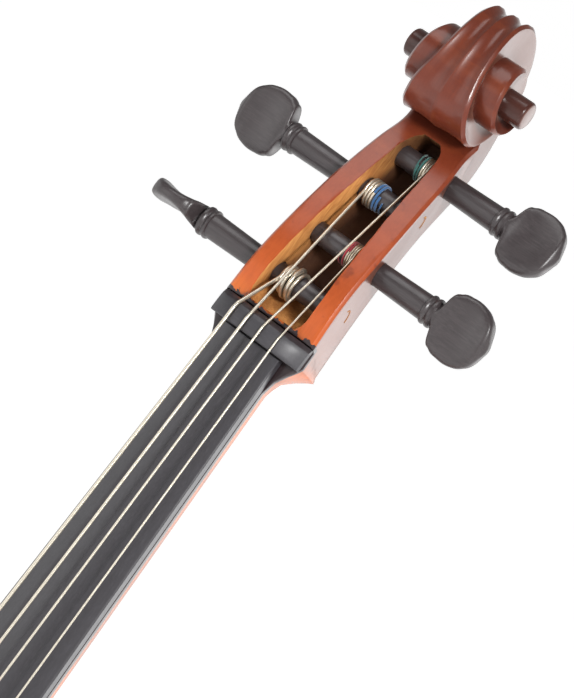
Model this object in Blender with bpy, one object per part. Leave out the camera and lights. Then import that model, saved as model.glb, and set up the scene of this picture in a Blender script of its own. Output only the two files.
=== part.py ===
"""Full-size cello standing on its endpin, built from separate fitted parts.

Origin: flat bottom of the endpin's rubber tip.  +Z up, the front faces -Y,
+X is the treble (A string) side.  Lengths below are millimetres; MM makes metres.
"""
import math

import bmesh
import bpy
import numpy as np

MM = 0.001
GAP = 0.3                    # clearance between neighbouring parts

# body
BODY_Z = 270.0               # height of the body's lower edge above the floor
BODY_LEN = 755.0
RIB_HALF = 58.5              # half the distance between the two plates
EDGE = 4.5                   # plate thickness
OVERHANG = 4.0
RIB_T = 1.6
TOP_ARCH = 27.0
BACK_ARCH = 28.0
BRIDGE_U = 355.0             # bridge feet above the body's lower edge
LOWER_BOUT = [(0, 0), (60, 3), (110, 12), (150, 31), (190, 74), (212, 120), (220, 170),
              (216, 220), (204, 265), (190, 298), (187, 314), (198, 333)]
WAIST = [(193, 342), (178, 344), (160, 351), (140, 366), (124, 390), (116, 415),
         (115, 438), (119, 463), (128, 482), (140, 495), (158, 506)]
UPPER_BOUT = [(152, 516), (150, 526), (153, 545), (162, 575), (169, 605), (170, 630),
              (164, 665), (148, 700), (120, 730), (85, 746), (40, 753.5), (0, 755)]
ARCH_WIDTH = [(0, 120), (40, 160), (80, 186), (165, 210), (250, 200), (330, 150), (430, 106),
              (510, 128), (560, 146), (625, 161), (680, 150), (720, 118), (755, 90)]

# neck frame: a runs up the neck, f points out of the fingerboard
NECK_TILT = math.radians(10.0)
NECK_LEN = 280.0             # body edge to nut
OVERSTAND = 20.0             # fingerboard glue plane above the top plate's edge
NECK_W = 15.7                # half width at the nut
NECK_TAPER = 0.0262          # half width gained per mm towards the body
NECK_DEPTH = (21.0, 22.5)
BOARD_LEN = 580.0
BOARD_R = 65.0
BOARD_EDGE = 5.2
NUT_T = 11.2
HEAD_W = 24.0                # pegbox half width at the nut

# pegbox profiles: (a, f, half width)
BOX_FRONT = [(11.6, 2.8, 23.8), (26, 3.2, 23.2), (40, 1.5, 22.6), (55, -2.5, 22.1), (80, -11, 20.9),
             (104, -21.5, 18.9), (117, -27.5, 17.3)]
BOX_BACK = [(2, -22.5, 23.4), (20, -25.0, 21.8), (40, -28.8, 20), (60, -34.6, 18), (76, -41.2, 16.3)]

# scroll: (degrees from the back over the top, value) about the eye
EYE_A, EYE_F = 142.6, -18.0
EYE_R = 6.5
EYE_X = 31.6
THROAT = math.radians(304.0)
SPIRAL_END = 754.0
SPIRAL = [(-56, 58.5), (-45, 52.4), (-30, 45.2), (-15, 39.6), (0, 36.2), (45, 35.2), (90, 32.9),
          (110, 29.6), (130, 24.8), (152, 21.0), (189, 19.2), (231, 23.3), (263, 24.8), (285, 23.9),
          (304, 21.8), (360, 18.6), (450, 16.2), (540, 15.0), (630, 13.9), (690, 11.7), (754, 6.5)]
BAND_W = [(-56, 14.6), (-30, 13.2), (0, 11.4), (60, 9.6), (100, 9.2), (150, 10.6), (190, 12.4),
          (230, 15.4), (263, 17.6), (304, 18.0), (360, 18.2), (450, 19.4), (540, 22.4), (630, 25.2),
          (754, 26.4)]
FOOT_W = [(304, 16.6), (330, 14.8), (360, 12.6), (420, 9.8), (470, 9.4), (540, 11.4), (610, 14.0),
          (664, 15.8), (720, 17.2), (754, 18.0), (840, 19.0), (930, 20.2), (1114, 21.2)]
CHAMFER = 1.4
FLUTE = [(-56, 2.2), (90, 2.0), (180, 1.8), (250, 1.0), (304, 0.5)]

# pegs: name, side of the head (+1 treble), a, f, turn of the grip about the axis
PEGS = [("c", -1, 29.0, -9.8, 90.0), ("a", 1, 53.2, -15.0, 15.0),
        ("g", -1, 80.3, -24.5, 10.0), ("d", 1, 101.5, -32.0, -10.0)]
RING_X = (50.4, 47.0, 48.4, 43.0)
PEG_R0, PEG_TAPER = 5.9, 0.019
STRING_X = {"c": -1.0, "g": -1 / 3, "d": 1 / 3, "a": 1.0}
STRING_R = {"c": 0.85, "g": 0.68, "d": 0.55, "a": 0.45}
NUT_SPREAD, BRIDGE_SPREAD = 12.0, 23.5

# fittings
BRIDGE_H = 90.0
TAIL_LEN = 235.0
ROD_R = 5.0
ROD_LEN = 520.0
TIP_H = 32.0

MATERIALS = {
    "varnished_maple": ((0.33, 0.09, 0.03), 0.28, 0.0),
    "varnished_spruce": ((0.45, 0.16, 0.05), 0.3, 0.0),
    "bare_spruce": ((0.62, 0.45, 0.27), 0.7, 0.0),
    "ebony": ((0.035, 0.03, 0.03), 0.35, 0.0),
    "bridge_maple": ((0.6, 0.42, 0.24), 0.55, 0.0),
    "string_steel": ((0.7, 0.69, 0.66), 0.25, 1.0),
    "steel": ((0.6, 0.6, 0.6), 0.22, 1.0),
    "black_resin": ((0.02, 0.02, 0.02), 0.4, 0.0),
    "nylon": ((0.03, 0.03, 0.03), 0.45, 0.0),
    "rubber": ((0.03, 0.03, 0.03), 0.8, 0.0),
}


# ---------------------------------------------------------------- helpers

def clear_scene():
    for item in list(bpy.data.objects):
        bpy.data.objects.remove(item, do_unlink=True)


def material(name):
    found = bpy.data.materials.get(name)
    if found:
        return found
    color, rough, metal = MATERIALS[name]
    made = bpy.data.materials.new(name)
    made.use_nodes = True
    shader = made.node_tree.nodes["Principled BSDF"]
    shader.inputs["Base Color"].default_value = (*color, 1.0)
    shader.inputs["Roughness"].default_value = rough
    shader.inputs["Metallic"].default_value = metal
    return made


def smooth(x, table):
    """Cubic Hermite curve through (x, y) pairs."""
    xs = np.array([p[0] for p in table], float)
    ys = np.array([p[1] for p in table], float)
    slope = np.gradient(ys, xs)
    x = np.clip(np.asarray(x, float), xs[0], xs[-1])
    i = np.clip(np.searchsorted(xs, x, side="right") - 1, 0, len(xs) - 2)
    h = xs[i + 1] - xs[i]
    t = (x - xs[i]) / h
    return ((2 * t**3 - 3 * t**2 + 1) * ys[i] + (t**3 - 2 * t**2 + t) * h * slope[i]
            + (3 * t**2 - 2 * t**3) * ys[i + 1] + (t**3 - t**2) * h * slope[i + 1])


def resample(points, step):
    """Points every `step` along a smooth curve through the given points."""
    pts = np.array(points, float)
    dist = np.concatenate([[0], np.cumsum(np.linalg.norm(np.diff(pts, axis=0), axis=1))])
    count = max(2, int(round(dist[-1] / step)) + 1)
    at = np.linspace(0, dist[-1], count)
    cols = [smooth(at, list(zip(dist, pts[:, k]))) for k in range(pts.shape[1])]
    return np.stack(cols, 1)


def frame_point(a, f):
    """World y, z of a point in the neck frame."""
    s, c = math.sin(NECK_TILT), math.cos(NECK_TILT)
    y0 = -(RIB_HALF + EDGE + OVERSTAND) + NECK_LEN * s
    z0 = BODY_Z + BODY_LEN + NECK_LEN * c
    return y0 + a * s - f * c, z0 + a * c + f * s


def neck_coords(y, z):
    """Neck frame a, f of a world point."""
    s, c = math.sin(NECK_TILT), math.cos(NECK_TILT)
    y0, z0 = frame_point(0, 0)
    return (y - y0) * s + (z - z0) * c, -(y - y0) * c + (z - z0) * s


def to_world(x, a, f):
    y, z = frame_point(a, f)
    return (x, y, z)


def add_object(name, bm, mat, origin=(0, 0, 0), angle=35.0):
    """Make an object from a bmesh given in world millimetres."""
    bmesh.ops.remove_doubles(bm, verts=bm.verts, dist=0.004)
    bmesh.ops.recalc_face_normals(bm, faces=bm.faces)
    shift = np.array(origin, float)
    for v in bm.verts:
        v.co = tuple((np.array(v.co) - shift) * MM)
    mesh = bpy.data.meshes.new(name)
    bm.to_mesh(mesh)
    bm.free()
    for face in mesh.polygons:
        face.use_smooth = True
    mesh.set_sharp_from_angle(angle=math.radians(angle))
    mesh.materials.append(material(mat))
    obj = bpy.data.objects.new(name, mesh)
    obj.location = tuple(shift * MM)
    bpy.context.scene.collection.objects.link(obj)
    return obj


def cut(target, bm, name):
    """Subtract a closed bmesh (world millimetres) from an object."""
    cutter = add_object(name, bm, "steel")
    cutter.hide_render = True
    cutter.display_type = "WIRE"
    mod = target.modifiers.new("cut_" + name, "BOOLEAN")
    mod.operation = "DIFFERENCE"
    mod.solver = "EXACT"
    mod.object = cutter


def apply_cuts(target):
    """Bake the cuts into the mesh and drop the cutters."""
    cutters = [m.object for m in target.modifiers if m.type == "BOOLEAN"]
    graph = bpy.context.evaluated_depsgraph_get()
    graph.update()
    mesh = bpy.data.meshes.new_from_object(target.evaluated_get(graph))
    target.modifiers.clear()
    target.data = mesh
    bm = bmesh.new()
    bm.from_mesh(mesh)
    bmesh.ops.remove_doubles(bm, verts=bm.verts, dist=2e-6)
    bmesh.ops.dissolve_degenerate(bm, edges=bm.edges, dist=2e-6)
    bm.to_mesh(mesh)
    bm.free()
    for cutter in cutters:
        bpy.data.objects.remove(cutter, do_unlink=True)


def grid_faces(bm, rows, closed=False):
    """Quads between neighbouring rows of vertices."""
    for low, high in zip(rows, rows[1:]):
        n = len(low)
        for i in range(n if closed else n - 1):
            j = (i + 1) % n
            bm.faces.new((low[i], low[j], high[j], high[i]))


def lofted(sections, capped=True):
    """Closed bmesh through rings of points."""
    bm = bmesh.new()
    rows = [[bm.verts.new(tuple(p)) for p in ring] for ring in sections]
    grid_faces(bm, rows, closed=True)
    if capped:
        bm.faces.new(rows[0])
        bm.faces.new(rows[-1])
    return bm


def turned(profile, centre, axis, sides=20, start=0.0):
    """Solid of revolution: profile of (distance along axis, radius)."""
    axis = np.array(axis, float) / np.linalg.norm(axis)
    side = np.cross(axis, (0, 0, 1) if abs(axis[2]) < 0.9 else (1, 0, 0))
    side /= np.linalg.norm(side)
    up = np.cross(axis, side)
    turns = start + np.arange(sides) * 2 * math.pi / sides
    rings = []
    for along, radius in profile:
        mid = np.array(centre, float) + axis * along
        rings.append([mid + radius * (math.cos(t) * side + math.sin(t) * up) for t in turns])
    return lofted(rings)


def box_mesh(x, y, z):
    """Box from three (low, high) pairs."""
    bm = bmesh.new()
    low = [bm.verts.new((px, py, z[0])) for px, py in
           ((x[0], y[0]), (x[1], y[0]), (x[1], y[1]), (x[0], y[1]))]
    high = [bm.verts.new((v.co.x, v.co.y, z[1])) for v in low]
    grid_faces(bm, [low, high], closed=True)
    bm.faces.new(low)
    bm.faces.new(high)
    return bm


def extruded(outline, low, high):
    """Prism of an (x, z) outline between two y values."""
    bm = bmesh.new()
    rows = [[bm.verts.new((p[0], y, p[1])) for p in outline] for y in (low, high)]
    grid_faces(bm, rows, closed=True)
    for row in rows:
        bm.faces.new(row)
    return bm


def tube(path, radius, sides=8):
    """Round bar along a path of points."""
    pts = np.array(path, float)
    rings = []
    side = None
    for i, p in enumerate(pts):
        ahead = pts[min(i + 1, len(pts) - 1)] - pts[max(i - 1, 0)]
        ahead /= np.linalg.norm(ahead)
        if side is None:
            side = np.cross(ahead, (1, 0, 0) if abs(ahead[0]) < 0.9 else (0, 0, 1))
        side = side - ahead * np.dot(side, ahead)
        side /= np.linalg.norm(side)
        up = np.cross(ahead, side)
        turns = np.arange(sides) * 2 * math.pi / sides
        rings.append([p + radius * (math.cos(t) * side + math.sin(t) * up) for t in turns])
    return lofted(rings)


# ---------------------------------------------------------------- body

def half_outline(step):
    """Right half of the body outline as (x, u) points, in three runs between the corners."""
    return [resample(seg, step) for seg in (LOWER_BOUT, WAIST, UPPER_BOUT)]


def arch(x, u, height):
    """Height of the arching above the plate's edge."""
    v = abs(u - BODY_LEN / 2) / (BODY_LEN / 2 - 12)
    long_rise = height * max(0.0, 1 - v ** 3.4)
    wide = float(smooth(u, ARCH_WIDTH)) * 1.02
    return long_rise * 0.5 * (1 + math.cos(math.pi * min(1.0, abs(x) / wide)))


def plate(name, mat, side, height, button=False):
    """Arched plate; side -1 is the front, +1 the back."""
    ring_at = (0.0, 0.012, 0.12, 0.28, 0.5, 0.75, 1.0)
    outline = np.concatenate(half_outline(34.0))
    if button:
        outline = np.vstack([outline[:-1], [(14, 755), (13, 773), (8, 778), (0, 779)]])
    bm = bmesh.new()
    for mirror in (1, -1):
        for layer in (0, 1):
            rows = []
            for k, t in enumerate(ring_at):
                row = []
                for x, u in outline:
                    spine = BODY_LEN / 2 + (u - BODY_LEN / 2) * 0.72
                    px, pu = x * (1 - t), u + (spine - u) * t
                    rise = arch(px, pu, height)
                    skin = EDGE if layer else 0.0
                    if k == 0:
                        skin = EDGE - 1.2 if layer else 1.2
                    y = side * (RIB_HALF + rise + skin)
                    row.append(bm.verts.new((mirror * px, y, BODY_Z + pu)))
                rows.append(row)
            grid_faces(bm, rows)
            if layer:
                grid_faces(bm, [first, rows[0]])
            first = rows[0]
    return add_object(name, bm, mat, angle=40.0)


def offset_curve(points, inward):
    """Shift an open (x, u) curve to its left-hand side (towards the body's inside)."""
    pts = np.array(points, float)
    tangent = np.gradient(pts, axis=0)
    tangent /= np.linalg.norm(tangent, axis=1)[:, None]
    normal = np.stack([-tangent[:, 1], tangent[:, 0]], 1)
    return pts + normal * inward


def strip(name, mat, outer, inner, low, high, mirror):
    """Bent strip between two (x, u) curves and two y values."""
    ring = [(mirror * p[0], BODY_Z + p[1]) for p in list(outer) + list(inner)[::-1]]
    return add_object(name, extruded(ring, low, high), mat)


def rib_curves():
    """Centre-side rib curves (outer face) for the three bouts of one half."""
    curves = []
    for seg in (LOWER_BOUT, WAIST, UPPER_BOUT):
        curves.append(offset_curve(resample(seg, 5.5), OVERHANG))
    lower, waist, upper = curves
    clear = RIB_T * 2 + GAP

    def away(points, other):
        keep = [np.min(np.linalg.norm(other - p, axis=1)) > clear for p in points]
        return points[np.array(keep)]

    waist = away(away(waist, lower), upper)
    lower[:, 0] = np.maximum(lower[:, 0], 0.0)
    lower = lower[lower[:, 0] > 1.0]
    lower = np.vstack([[GAP / 2, lower[0, 1]], lower])
    upper = upper[upper[:, 0] > 23.5]
    return [c[::3] if (len(c) - 1) % 3 == 0 else np.vstack([c[::3], c[-1]])
            for c in (lower, waist, upper)]


def build_ribs():
    for side, mirror in (("left", -1), ("right", 1)):
        for name, curve in zip(("lower", "waist", "upper"), rib_curves()):
            inner = offset_curve(curve, RIB_T)
            inner[0, 0] = curve[0, 0] if name == "lower" else inner[0, 0]
            rib = strip("rib_%s_%s" % (name, side), "varnished_maple", curve, inner,
                        -RIB_HALF + GAP, RIB_HALF - GAP, mirror)
            if name == "lower":
                cut(rib, turned([(0, 14.2), (20, 14.2)], (0, 0, BODY_Z - 4), (0, 0, 1), 24), "endpin")
                apply_cuts(rib)


def build_plates():
    top = plate("top_plate", "varnished_spruce", -1, TOP_ARCH)
    plate("back_plate", "varnished_maple", 1, BACK_ARCH, button=True)
    return top


# ---------------------------------------------------------------- neck and head

BAND = 8                     # columns across the front and the back
SIDE = 3                     # columns down each side
TURN = 24                    # sections in one turn of the scroll


def band_shape(wide, flute):
    """(x, sink) across a band: two flutes beside a centre ridge."""
    out = []
    for i in range(BAND + 1):
        x = 1 - 2 * i / BAND
        out.append((x * wide, flute * math.sin(math.pi * abs(x))))
    return out


def box_ring(front, back, blend):
    """Section from a front to a back point; blend 0 is the round neck, 1 the pegbox."""
    fa, ff, fw = front
    ba, bf, bw = back
    deep = math.hypot(fa - ba, ff - bf)
    edge = CHAMFER * blend + 0.5 * (1 - blend)
    shape = [(x, 0.0) for x, _ in band_shape(-(fw - edge * blend), 0)]
    right = []
    for i in range(SIDE + 1):
        t = i / SIDE
        v = (edge + (deep - 2 * edge) * t) / deep
        turn = math.radians(2 + 38 * t)
        round_x = fw * math.cos(turn) ** 0.9
        round_v = math.sin(turn) ** 0.9
        right.append(((fw + (bw - fw) * t) * blend + round_x * (1 - blend),
                      v * blend + round_v * (1 - blend)))
    under = []
    for i, (x, sink) in enumerate(band_shape(bw - edge, FLUTE[0][1] * blend)):
        side = 1 if i < BAND / 2 else -1
        turn = math.radians(40 + 50 * (1 - abs(1 - 2 * i / BAND)) + 2)
        round_x = side * fw * max(0.0, math.cos(turn)) ** 0.9 if i != BAND / 2 else 0.0
        round_v = math.sin(min(turn, math.pi / 2)) ** 0.9
        under.append((x * blend + round_x * (1 - blend),
                      (1 - sink / deep) * blend + round_v * (1 - blend)))
    left = [(-x, v) for x, v in right[::-1]]
    ring = shape + right + under + left
    return [to_world(x, fa + (ba - fa) * v, ff + (bf - ff) * v) for x, v in ring]


def spiral_point(psi, radius, x):
    return to_world(x, EYE_A + radius * math.sin(psi), EYE_F - radius * math.cos(psi))


def neck_sections():
    """(front, back, blend) from the heel's foot up to the last pegbox section."""
    top = BODY_Z + BODY_LEN
    out = []
    foot_y = RIB_HALF - GAP
    front_y = -(RIB_HALF + EDGE + OVERSTAND)
    heel = [(front_y - 1.0, -10.0, foot_y, -10.0, 19.0, 14.0, 0.6),
            (front_y - 1.0, 0.0, foot_y, 0.0, 19.0, 14.0, 0.6),
            (front_y, 4.0, foot_y, 17.0, 19.6, 13.6, 0.6),
            (front_y, 7.0, foot_y - 1.5, 22.5, 20.2, 13.6, 0.5),
            (front_y, 11.0, 36.0, 24.5, 20.6, 15.0, 0.35),
            (front_y, 17.0, 12.0, 29.0, 20.8, 17.0, 0.2),
            (front_y, 25.0, -10.0, 36.5, 20.8, 18.0, 0.1),
            (front_y, 36.0, -28.0, 47.0, 20.8, 19.0, 0.0),
            (front_y, 50.0, -40.5, 60.0, 20.4, 19.0, 0.0)]
    for fy, fz, by, bz, fw, bw, blend in heel:
        fa, _ = neck_coords(fy, top + fz)
        out.append(((fa, 0.0, fw), (*neck_coords(by, top + bz), bw), blend))
    for fa in (-195, -130, -70, -30, -16):
        t = -fa / NECK_LEN
        deep = NECK_DEPTH[0] + (NECK_DEPTH[1] - NECK_DEPTH[0]) * t
        out.append(((fa, 0.0, NECK_W - NECK_TAPER * fa), (fa, -deep, 12.0), 0.0))
    flare = [(-9, 17.5, -8, -22.0, 0.25), (-4, 20.2, -4, -22.6, 0.6), (0, 22.8, -1, -23.0, 0.9),
             (2.5, HEAD_W, 0, -23.3, 1.0)]
    for fa, fw, ba, bf, blend in flare:
        out.append(((fa, 0.0, fw), (ba, bf, fw), blend))
    return out


def pegbox_sections(count=8):
    fronts = [(NUT_T, 0.0, HEAD_W - 0.2)]
    backs = [(0.8, -23.4, 23.6)]
    t_band = smooth(math.degrees(THROAT), SPIRAL)
    w_t = float(smooth(math.degrees(THROAT), BAND_W))
    throat = (EYE_A + t_band * math.sin(THROAT), EYE_F - t_band * math.cos(THROAT), w_t)
    first = math.degrees(THROAT) - 360
    r0 = float(smooth(first, SPIRAL))
    w0 = float(smooth(first, BAND_W))
    chin = (EYE_A + r0 * math.sin(THROAT), EYE_F - r0 * math.cos(THROAT), w0)
    front = resample(BOX_FRONT + [throat], 1.0)
    back = resample(BOX_BACK + [chin], 1.0)
    out = [(fronts[0], backs[0], 1.0)]
    for k in range(count):
        t = k / count
        out.append((tuple(front[int(t * (len(front) - 1))]), tuple(back[int(t * (len(back) - 1))]), 1.0))
    return out


def scroll_side(psi, mirror, foot_psi):
    """Points down the side of the scroll from the outer edge to the next wall's foot."""
    deg = math.degrees(psi)
    radius = float(smooth(deg, SPIRAL))
    wide = float(smooth(deg, BAND_W))
    foot_deg = math.degrees(foot_psi)
    foot_r = max(float(smooth(foot_deg, SPIRAL)), EYE_R) if foot_deg < SPIRAL_END else EYE_R
    foot_w = float(smooth(foot_deg, FOOT_W))
    edge = min(CHAMFER, (radius - foot_r) * 0.5)
    out = []
    for i in range(SIDE + 1):
        t = 1 - i / SIDE
        r = foot_r + (radius - edge - foot_r) * t
        out.append(spiral_point(psi, r, mirror * (foot_w + (wide - foot_w) * t ** 1.7)))
    return out


def scroll_band(psi):
    deg = math.degrees(psi)
    radius = float(smooth(deg, SPIRAL))
    wide = float(smooth(deg, BAND_W)) - CHAMFER
    flute = float(smooth(deg, FLUTE))
    return [spiral_point(psi, radius - sink, x) for x, sink in band_shape(wide, flute)]


def build_neck_mesh():
    """Neck, pegbox and scroll as one closed surface."""
    bm = bmesh.new()

    def row(points):
        return [bm.verts.new(p) for p in points]

    rings = [box_ring(*s) for s in neck_sections() + pegbox_sections()]
    psi0 = THROAT - 2 * math.pi
    step = 2 * math.pi / TURN
    last_band = scroll_band(THROAT)
    side0 = scroll_side(psi0, 1, THROAT)[::-1]
    left0 = scroll_side(psi0, -1, THROAT)
    side0[0], left0[-1] = last_band[0], last_band[-1]
    rings.append(last_band[::-1] + side0 + scroll_band(psi0) + left0)
    rows = [row(r) for r in rings]
    grid_faces(bm, rows, closed=True)
    bm.faces.new(rows[0])

    strips = []
    for k in range(TURN + 1):
        psi = psi0 + k * step
        right = scroll_side(psi, 1, psi + 2 * math.pi)[::-1]
        left = scroll_side(psi, -1, psi + 2 * math.pi)
        if k == 0:
            right[0], left[-1] = last_band[0], last_band[-1]
        strips.append(row(right + scroll_band(psi) + left))
    grid_faces(bm, strips)

    end = int(round((math.radians(SPIRAL_END) - THROAT) / step))
    for mirror in (1, -1):
        build_volute(bm, mirror, psi0, step, end)
    return bm


def build_volute(bm, mirror, psi0, step, end):
    """Inner turns and eye on one side of the scroll."""
    walls = []
    feet = []
    full = 2 * math.pi
    for k in range(end + 1):
        psi = THROAT + k * step
        top = spiral_point(psi, float(smooth(math.degrees(psi), SPIRAL)),
                           mirror * (float(smooth(math.degrees(psi), BAND_W)) - CHAMFER))
        foot = scroll_side(psi - full, mirror, psi)[-1] if k else top
        low, high = np.array(foot), np.array(top)
        side = scroll_side(psi, mirror, psi + full) if k < end else []
        feet.append(side[-1] if side else top)
        side = side or [top] * (SIDE + 1)
        walls.append([bm.verts.new(p) for p in [foot, tuple((low + high) / 2), top] + side])
    grid_faces(bm, walls)
    eye = []
    turns = [THROAT + (end - TURN + k) * step for k in range(TURN)]
    for x, r in ((EYE_X - 1.6, EYE_R), (EYE_X - 0.5, EYE_R - 0.5), (EYE_X, EYE_R - 1.8)):
        eye.append([bm.verts.new(spiral_point(t, r, mirror * x)) for t in turns])
    base = [bm.verts.new(p) for p in feet[end - TURN:end]]
    for i in range(1, TURN - 1):
        bm.faces.new((base[i], base[i + 1], eye[0][i + 1], eye[0][i]))
    seam = walls[end]
    bm.faces.new((seam[0], base[1], eye[0][1], eye[0][0], seam[2], seam[1]))
    bm.faces.new((base[TURN - 1], seam[2], eye[0][0], eye[0][TURN - 1]))
    grid_faces(bm, eye, closed=True)
    bm.faces.new(eye[-1])


def cavity_cutter():
    """Tapered mortise of the pegbox: ramp at the nut end, rounded far end."""
    rims = [(13.4, 12.5, -2.5), (18, 14.2, -12.0), (24, 14.4, -19.0), (40, 13.6, -22.0), (60, 12.5, -28.5),
            (80, 11.0, -36.5), (95, 9.8, -41.5), (105, 8.8, -43.5), (110.5, 7.0, -43.0), (113.6, 4.4, -41.0)]
    front = [(p[0], p[1]) for p in BOX_FRONT]
    rings = []
    for a, wide, floor in rims:
        top = float(smooth(a, front)) + 8.0
        rings.append([to_world(x, a, f) for x, f in
                      ((-wide, top), (wide, top), (wide * 0.96, floor + 2.0), (wide * 0.8, floor),
                       (-wide * 0.8, floor), (-wide * 0.96, floor + 2.0))])
    return lofted(rings)


def peg_radius(x_from_ring):
    return PEG_R0 - PEG_TAPER * x_from_ring


def cut_peg_holes(neck):
    for (string, side, a, f, _), ring_x in zip(PEGS, RING_X):
        centre = to_world(0, a, f)
        ends = (-40.0, ring_x - 8.0)
        profile = [(x, peg_radius(ring_x - x) + 0.35) for x in ends]
        cut(neck, turned(profile, centre, (side, 0, 0), 20), "hole_" + string)


def build_neck():
    neck = add_object("neck_and_scroll", build_neck_mesh(), "varnished_maple", angle=40.0)
    cut(neck, cavity_cutter(), "cavity")
    cut_peg_holes(neck)
    apply_cuts(neck)
    return neck


PEG_GRIP = [(0.0, 6.6, 5.6), (0.9, 10.8, 5.3), (3.4, 13.5, 4.4), (8.5, 15.0, 3.4), (14.6, 14.8, 3.3),
            (19.6, 12.6, 3.9), (23.2, 8.4, 4.1), (25.4, 2.0, 1.8)]
PEG_STEM = [(0.0, 6.8), (1.6, 6.8), (2.35, 6.1), (3.2, 6.8), (4.8, 6.8), (5.3, 5.5)]
GRIP_AT = 6.6


def build_peg(string, side, a, f, grip_turn, ring_x):
    """Peg along x: tapered shaft, double ring, stem and flattened grip."""
    cheek = -(float(smooth(a, [(p[0], p[2]) for p in BOX_FRONT])) + 1.0)
    profile = [(cheek, 0.4 * peg_radius(ring_x - cheek)), (cheek + 0.8, peg_radius(ring_x - cheek)),
               (ring_x - 0.1, peg_radius(0.0))]
    profile += [(ring_x + along, radius) for along, radius in PEG_STEM]
    sides = 16
    turns = np.arange(sides) * 2 * math.pi / sides
    lean = math.radians(grip_turn)
    rings = []
    for x, radius in profile:
        rings.append([(x, radius * math.cos(t), radius * math.sin(t)) for t in turns])
    for along, wide, thick in PEG_GRIP:
        x = ring_x + GRIP_AT + along
        ring = []
        for t in turns:
            c, s = math.cos(t), math.sin(t)
            py = wide * math.copysign(abs(c) ** 0.8, c)
            pz = thick * math.copysign(abs(s) ** 0.8, s) * (1 + 0.5 * abs(c) ** 3 * min(1.0, wide / 14))
            ring.append((x, py * math.cos(lean) - pz * math.sin(lean),
                         py * math.sin(lean) + pz * math.cos(lean)))
        rings.append(ring)
    world = []
    for ring in rings:
        world.append([to_world(side * x, a + v, f + w) for x, v, w in ring])
    centre = to_world(0, a, f)
    return add_object("peg_" + string, lofted(world), "ebony", origin=centre, angle=50.0)


def board_half(a):
    return NECK_W - NECK_TAPER * a


def board_height(x, a):
    """Playing surface above the glue plane."""
    half = board_half(a)
    crown = math.sqrt(BOARD_R ** 2 - x ** 2) - math.sqrt(BOARD_R ** 2 - half ** 2)
    return BOARD_EDGE + crown


def build_fingerboard():
    rings = []
    for a in np.linspace(-GAP, -BOARD_LEN, 13):
        half = board_half(a)
        hollow = max(0.0, -a - NECK_LEN - 10) and min(6.0, (-a - NECK_LEN - 10) * 0.05)
        xs = [half * math.sin(math.radians(t)) / math.sin(math.radians(66)) for t in range(-66, 67, 12)]
        ring = [(x, board_height(x, a)) for x in xs]
        ring += [(half, GAP), (half * 0.8, GAP), (half * 0.45, GAP + hollow), (0, GAP + hollow * 1.3),
                 (-half * 0.45, GAP + hollow), (-half * 0.8, GAP), (-half, GAP)]
        rings.append([to_world(x, a, f) for x, f in ring])
    add_object("fingerboard", lofted(rings), "ebony", angle=40.0)


def nut_height(x):
    return 3.0 + 9.2 * (1 - abs(x / (HEAD_W - 0.2)) ** 2.6)


def build_nut():
    xs = np.linspace(-(HEAD_W - 0.4), HEAD_W - 0.4, 17)
    rings = []
    for a, drop in ((0.0, 0.9), (1.2, 0.0), (4.0, 0.0), (NUT_T - 2.8, 1.1), (NUT_T - 0.4, 3.4)):
        ring = [(x, max(GAP + 0.8, nut_height(x) - drop * (0.3 + 0.7 * nut_height(x) / 12))) for x in xs]
        ring += [(xs[-1], GAP), (xs[0], GAP)]
        rings.append([to_world(x, a + GAP / 2, f) for x, f in ring])
    return add_object("nut", lofted(rings), "ebony", angle=40.0)


def peg_of(string):
    for peg, ring_x in zip(PEGS, RING_X):
        if peg[0] == string:
            return peg + (ring_x,)
    raise ValueError(string)


WIND_X = {"c": -6.5, "g": -6.0, "d": 4.6, "a": 7.0}      # middle of the winding on its peg
WIND_LEN = {"c": 10.0, "g": 8.0, "d": 5.6, "a": 8.0}


def wind_radius(string):
    _, side, _, _, _, ring_x = peg_of(string)
    return peg_radius(ring_x - side * WIND_X[string])


def bridge_top(string):
    """World point where a string crosses the bridge."""
    x = STRING_X[string] * BRIDGE_SPREAD
    drop = BOARD_R - math.sqrt(BOARD_R ** 2 - x ** 2)
    y = -(RIB_HALF + EDGE + TOP_ARCH + BRIDGE_H - drop + STRING_R[string] + 0.8)
    return np.array((x, y, BODY_Z + BRIDGE_U))


def tail_line(t, n):
    """World y, z at t mm from the lower end of the tailpiece and n above its axis."""
    low = np.array((-(RIB_HALF + EDGE + 13.0), BODY_Z + 14.0))
    high = np.array((-(RIB_HALF + EDGE + 83.0), BODY_Z + 246.0))
    along = (high - low) / np.linalg.norm(high - low)
    out = np.array((-along[1], along[0]))
    return low + along * t + out * n


def string_path(string):
    x0 = STRING_X[string] * NUT_SPREAD
    _, side, a, f, _, _ = peg_of(string)
    wound = WIND_X[string] + side * 0.3 * WIND_LEN[string]
    radius = wind_radius(string) + 3 * STRING_R[string] + GAP
    over = nut_height(x0) + STRING_R[string] + GAP
    points = [to_world(wound, a - 1.0, f + radius), to_world(x0, 7.5, over - 0.3),
              to_world(x0, 0.5, over), bridge_top(string)]
    end = tail_line(TAIL_LEN - 1.0, 7.0)
    points.append((STRING_X[string] * 22.5, end[0], end[1]))
    return points


def build_strings():
    for string in "cgda":
        tube_path = string_path(string)
        name = "string_" + string
        add_object(name, tube(tube_path, STRING_R[string], 6), "string_steel", angle=60.0)


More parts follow.
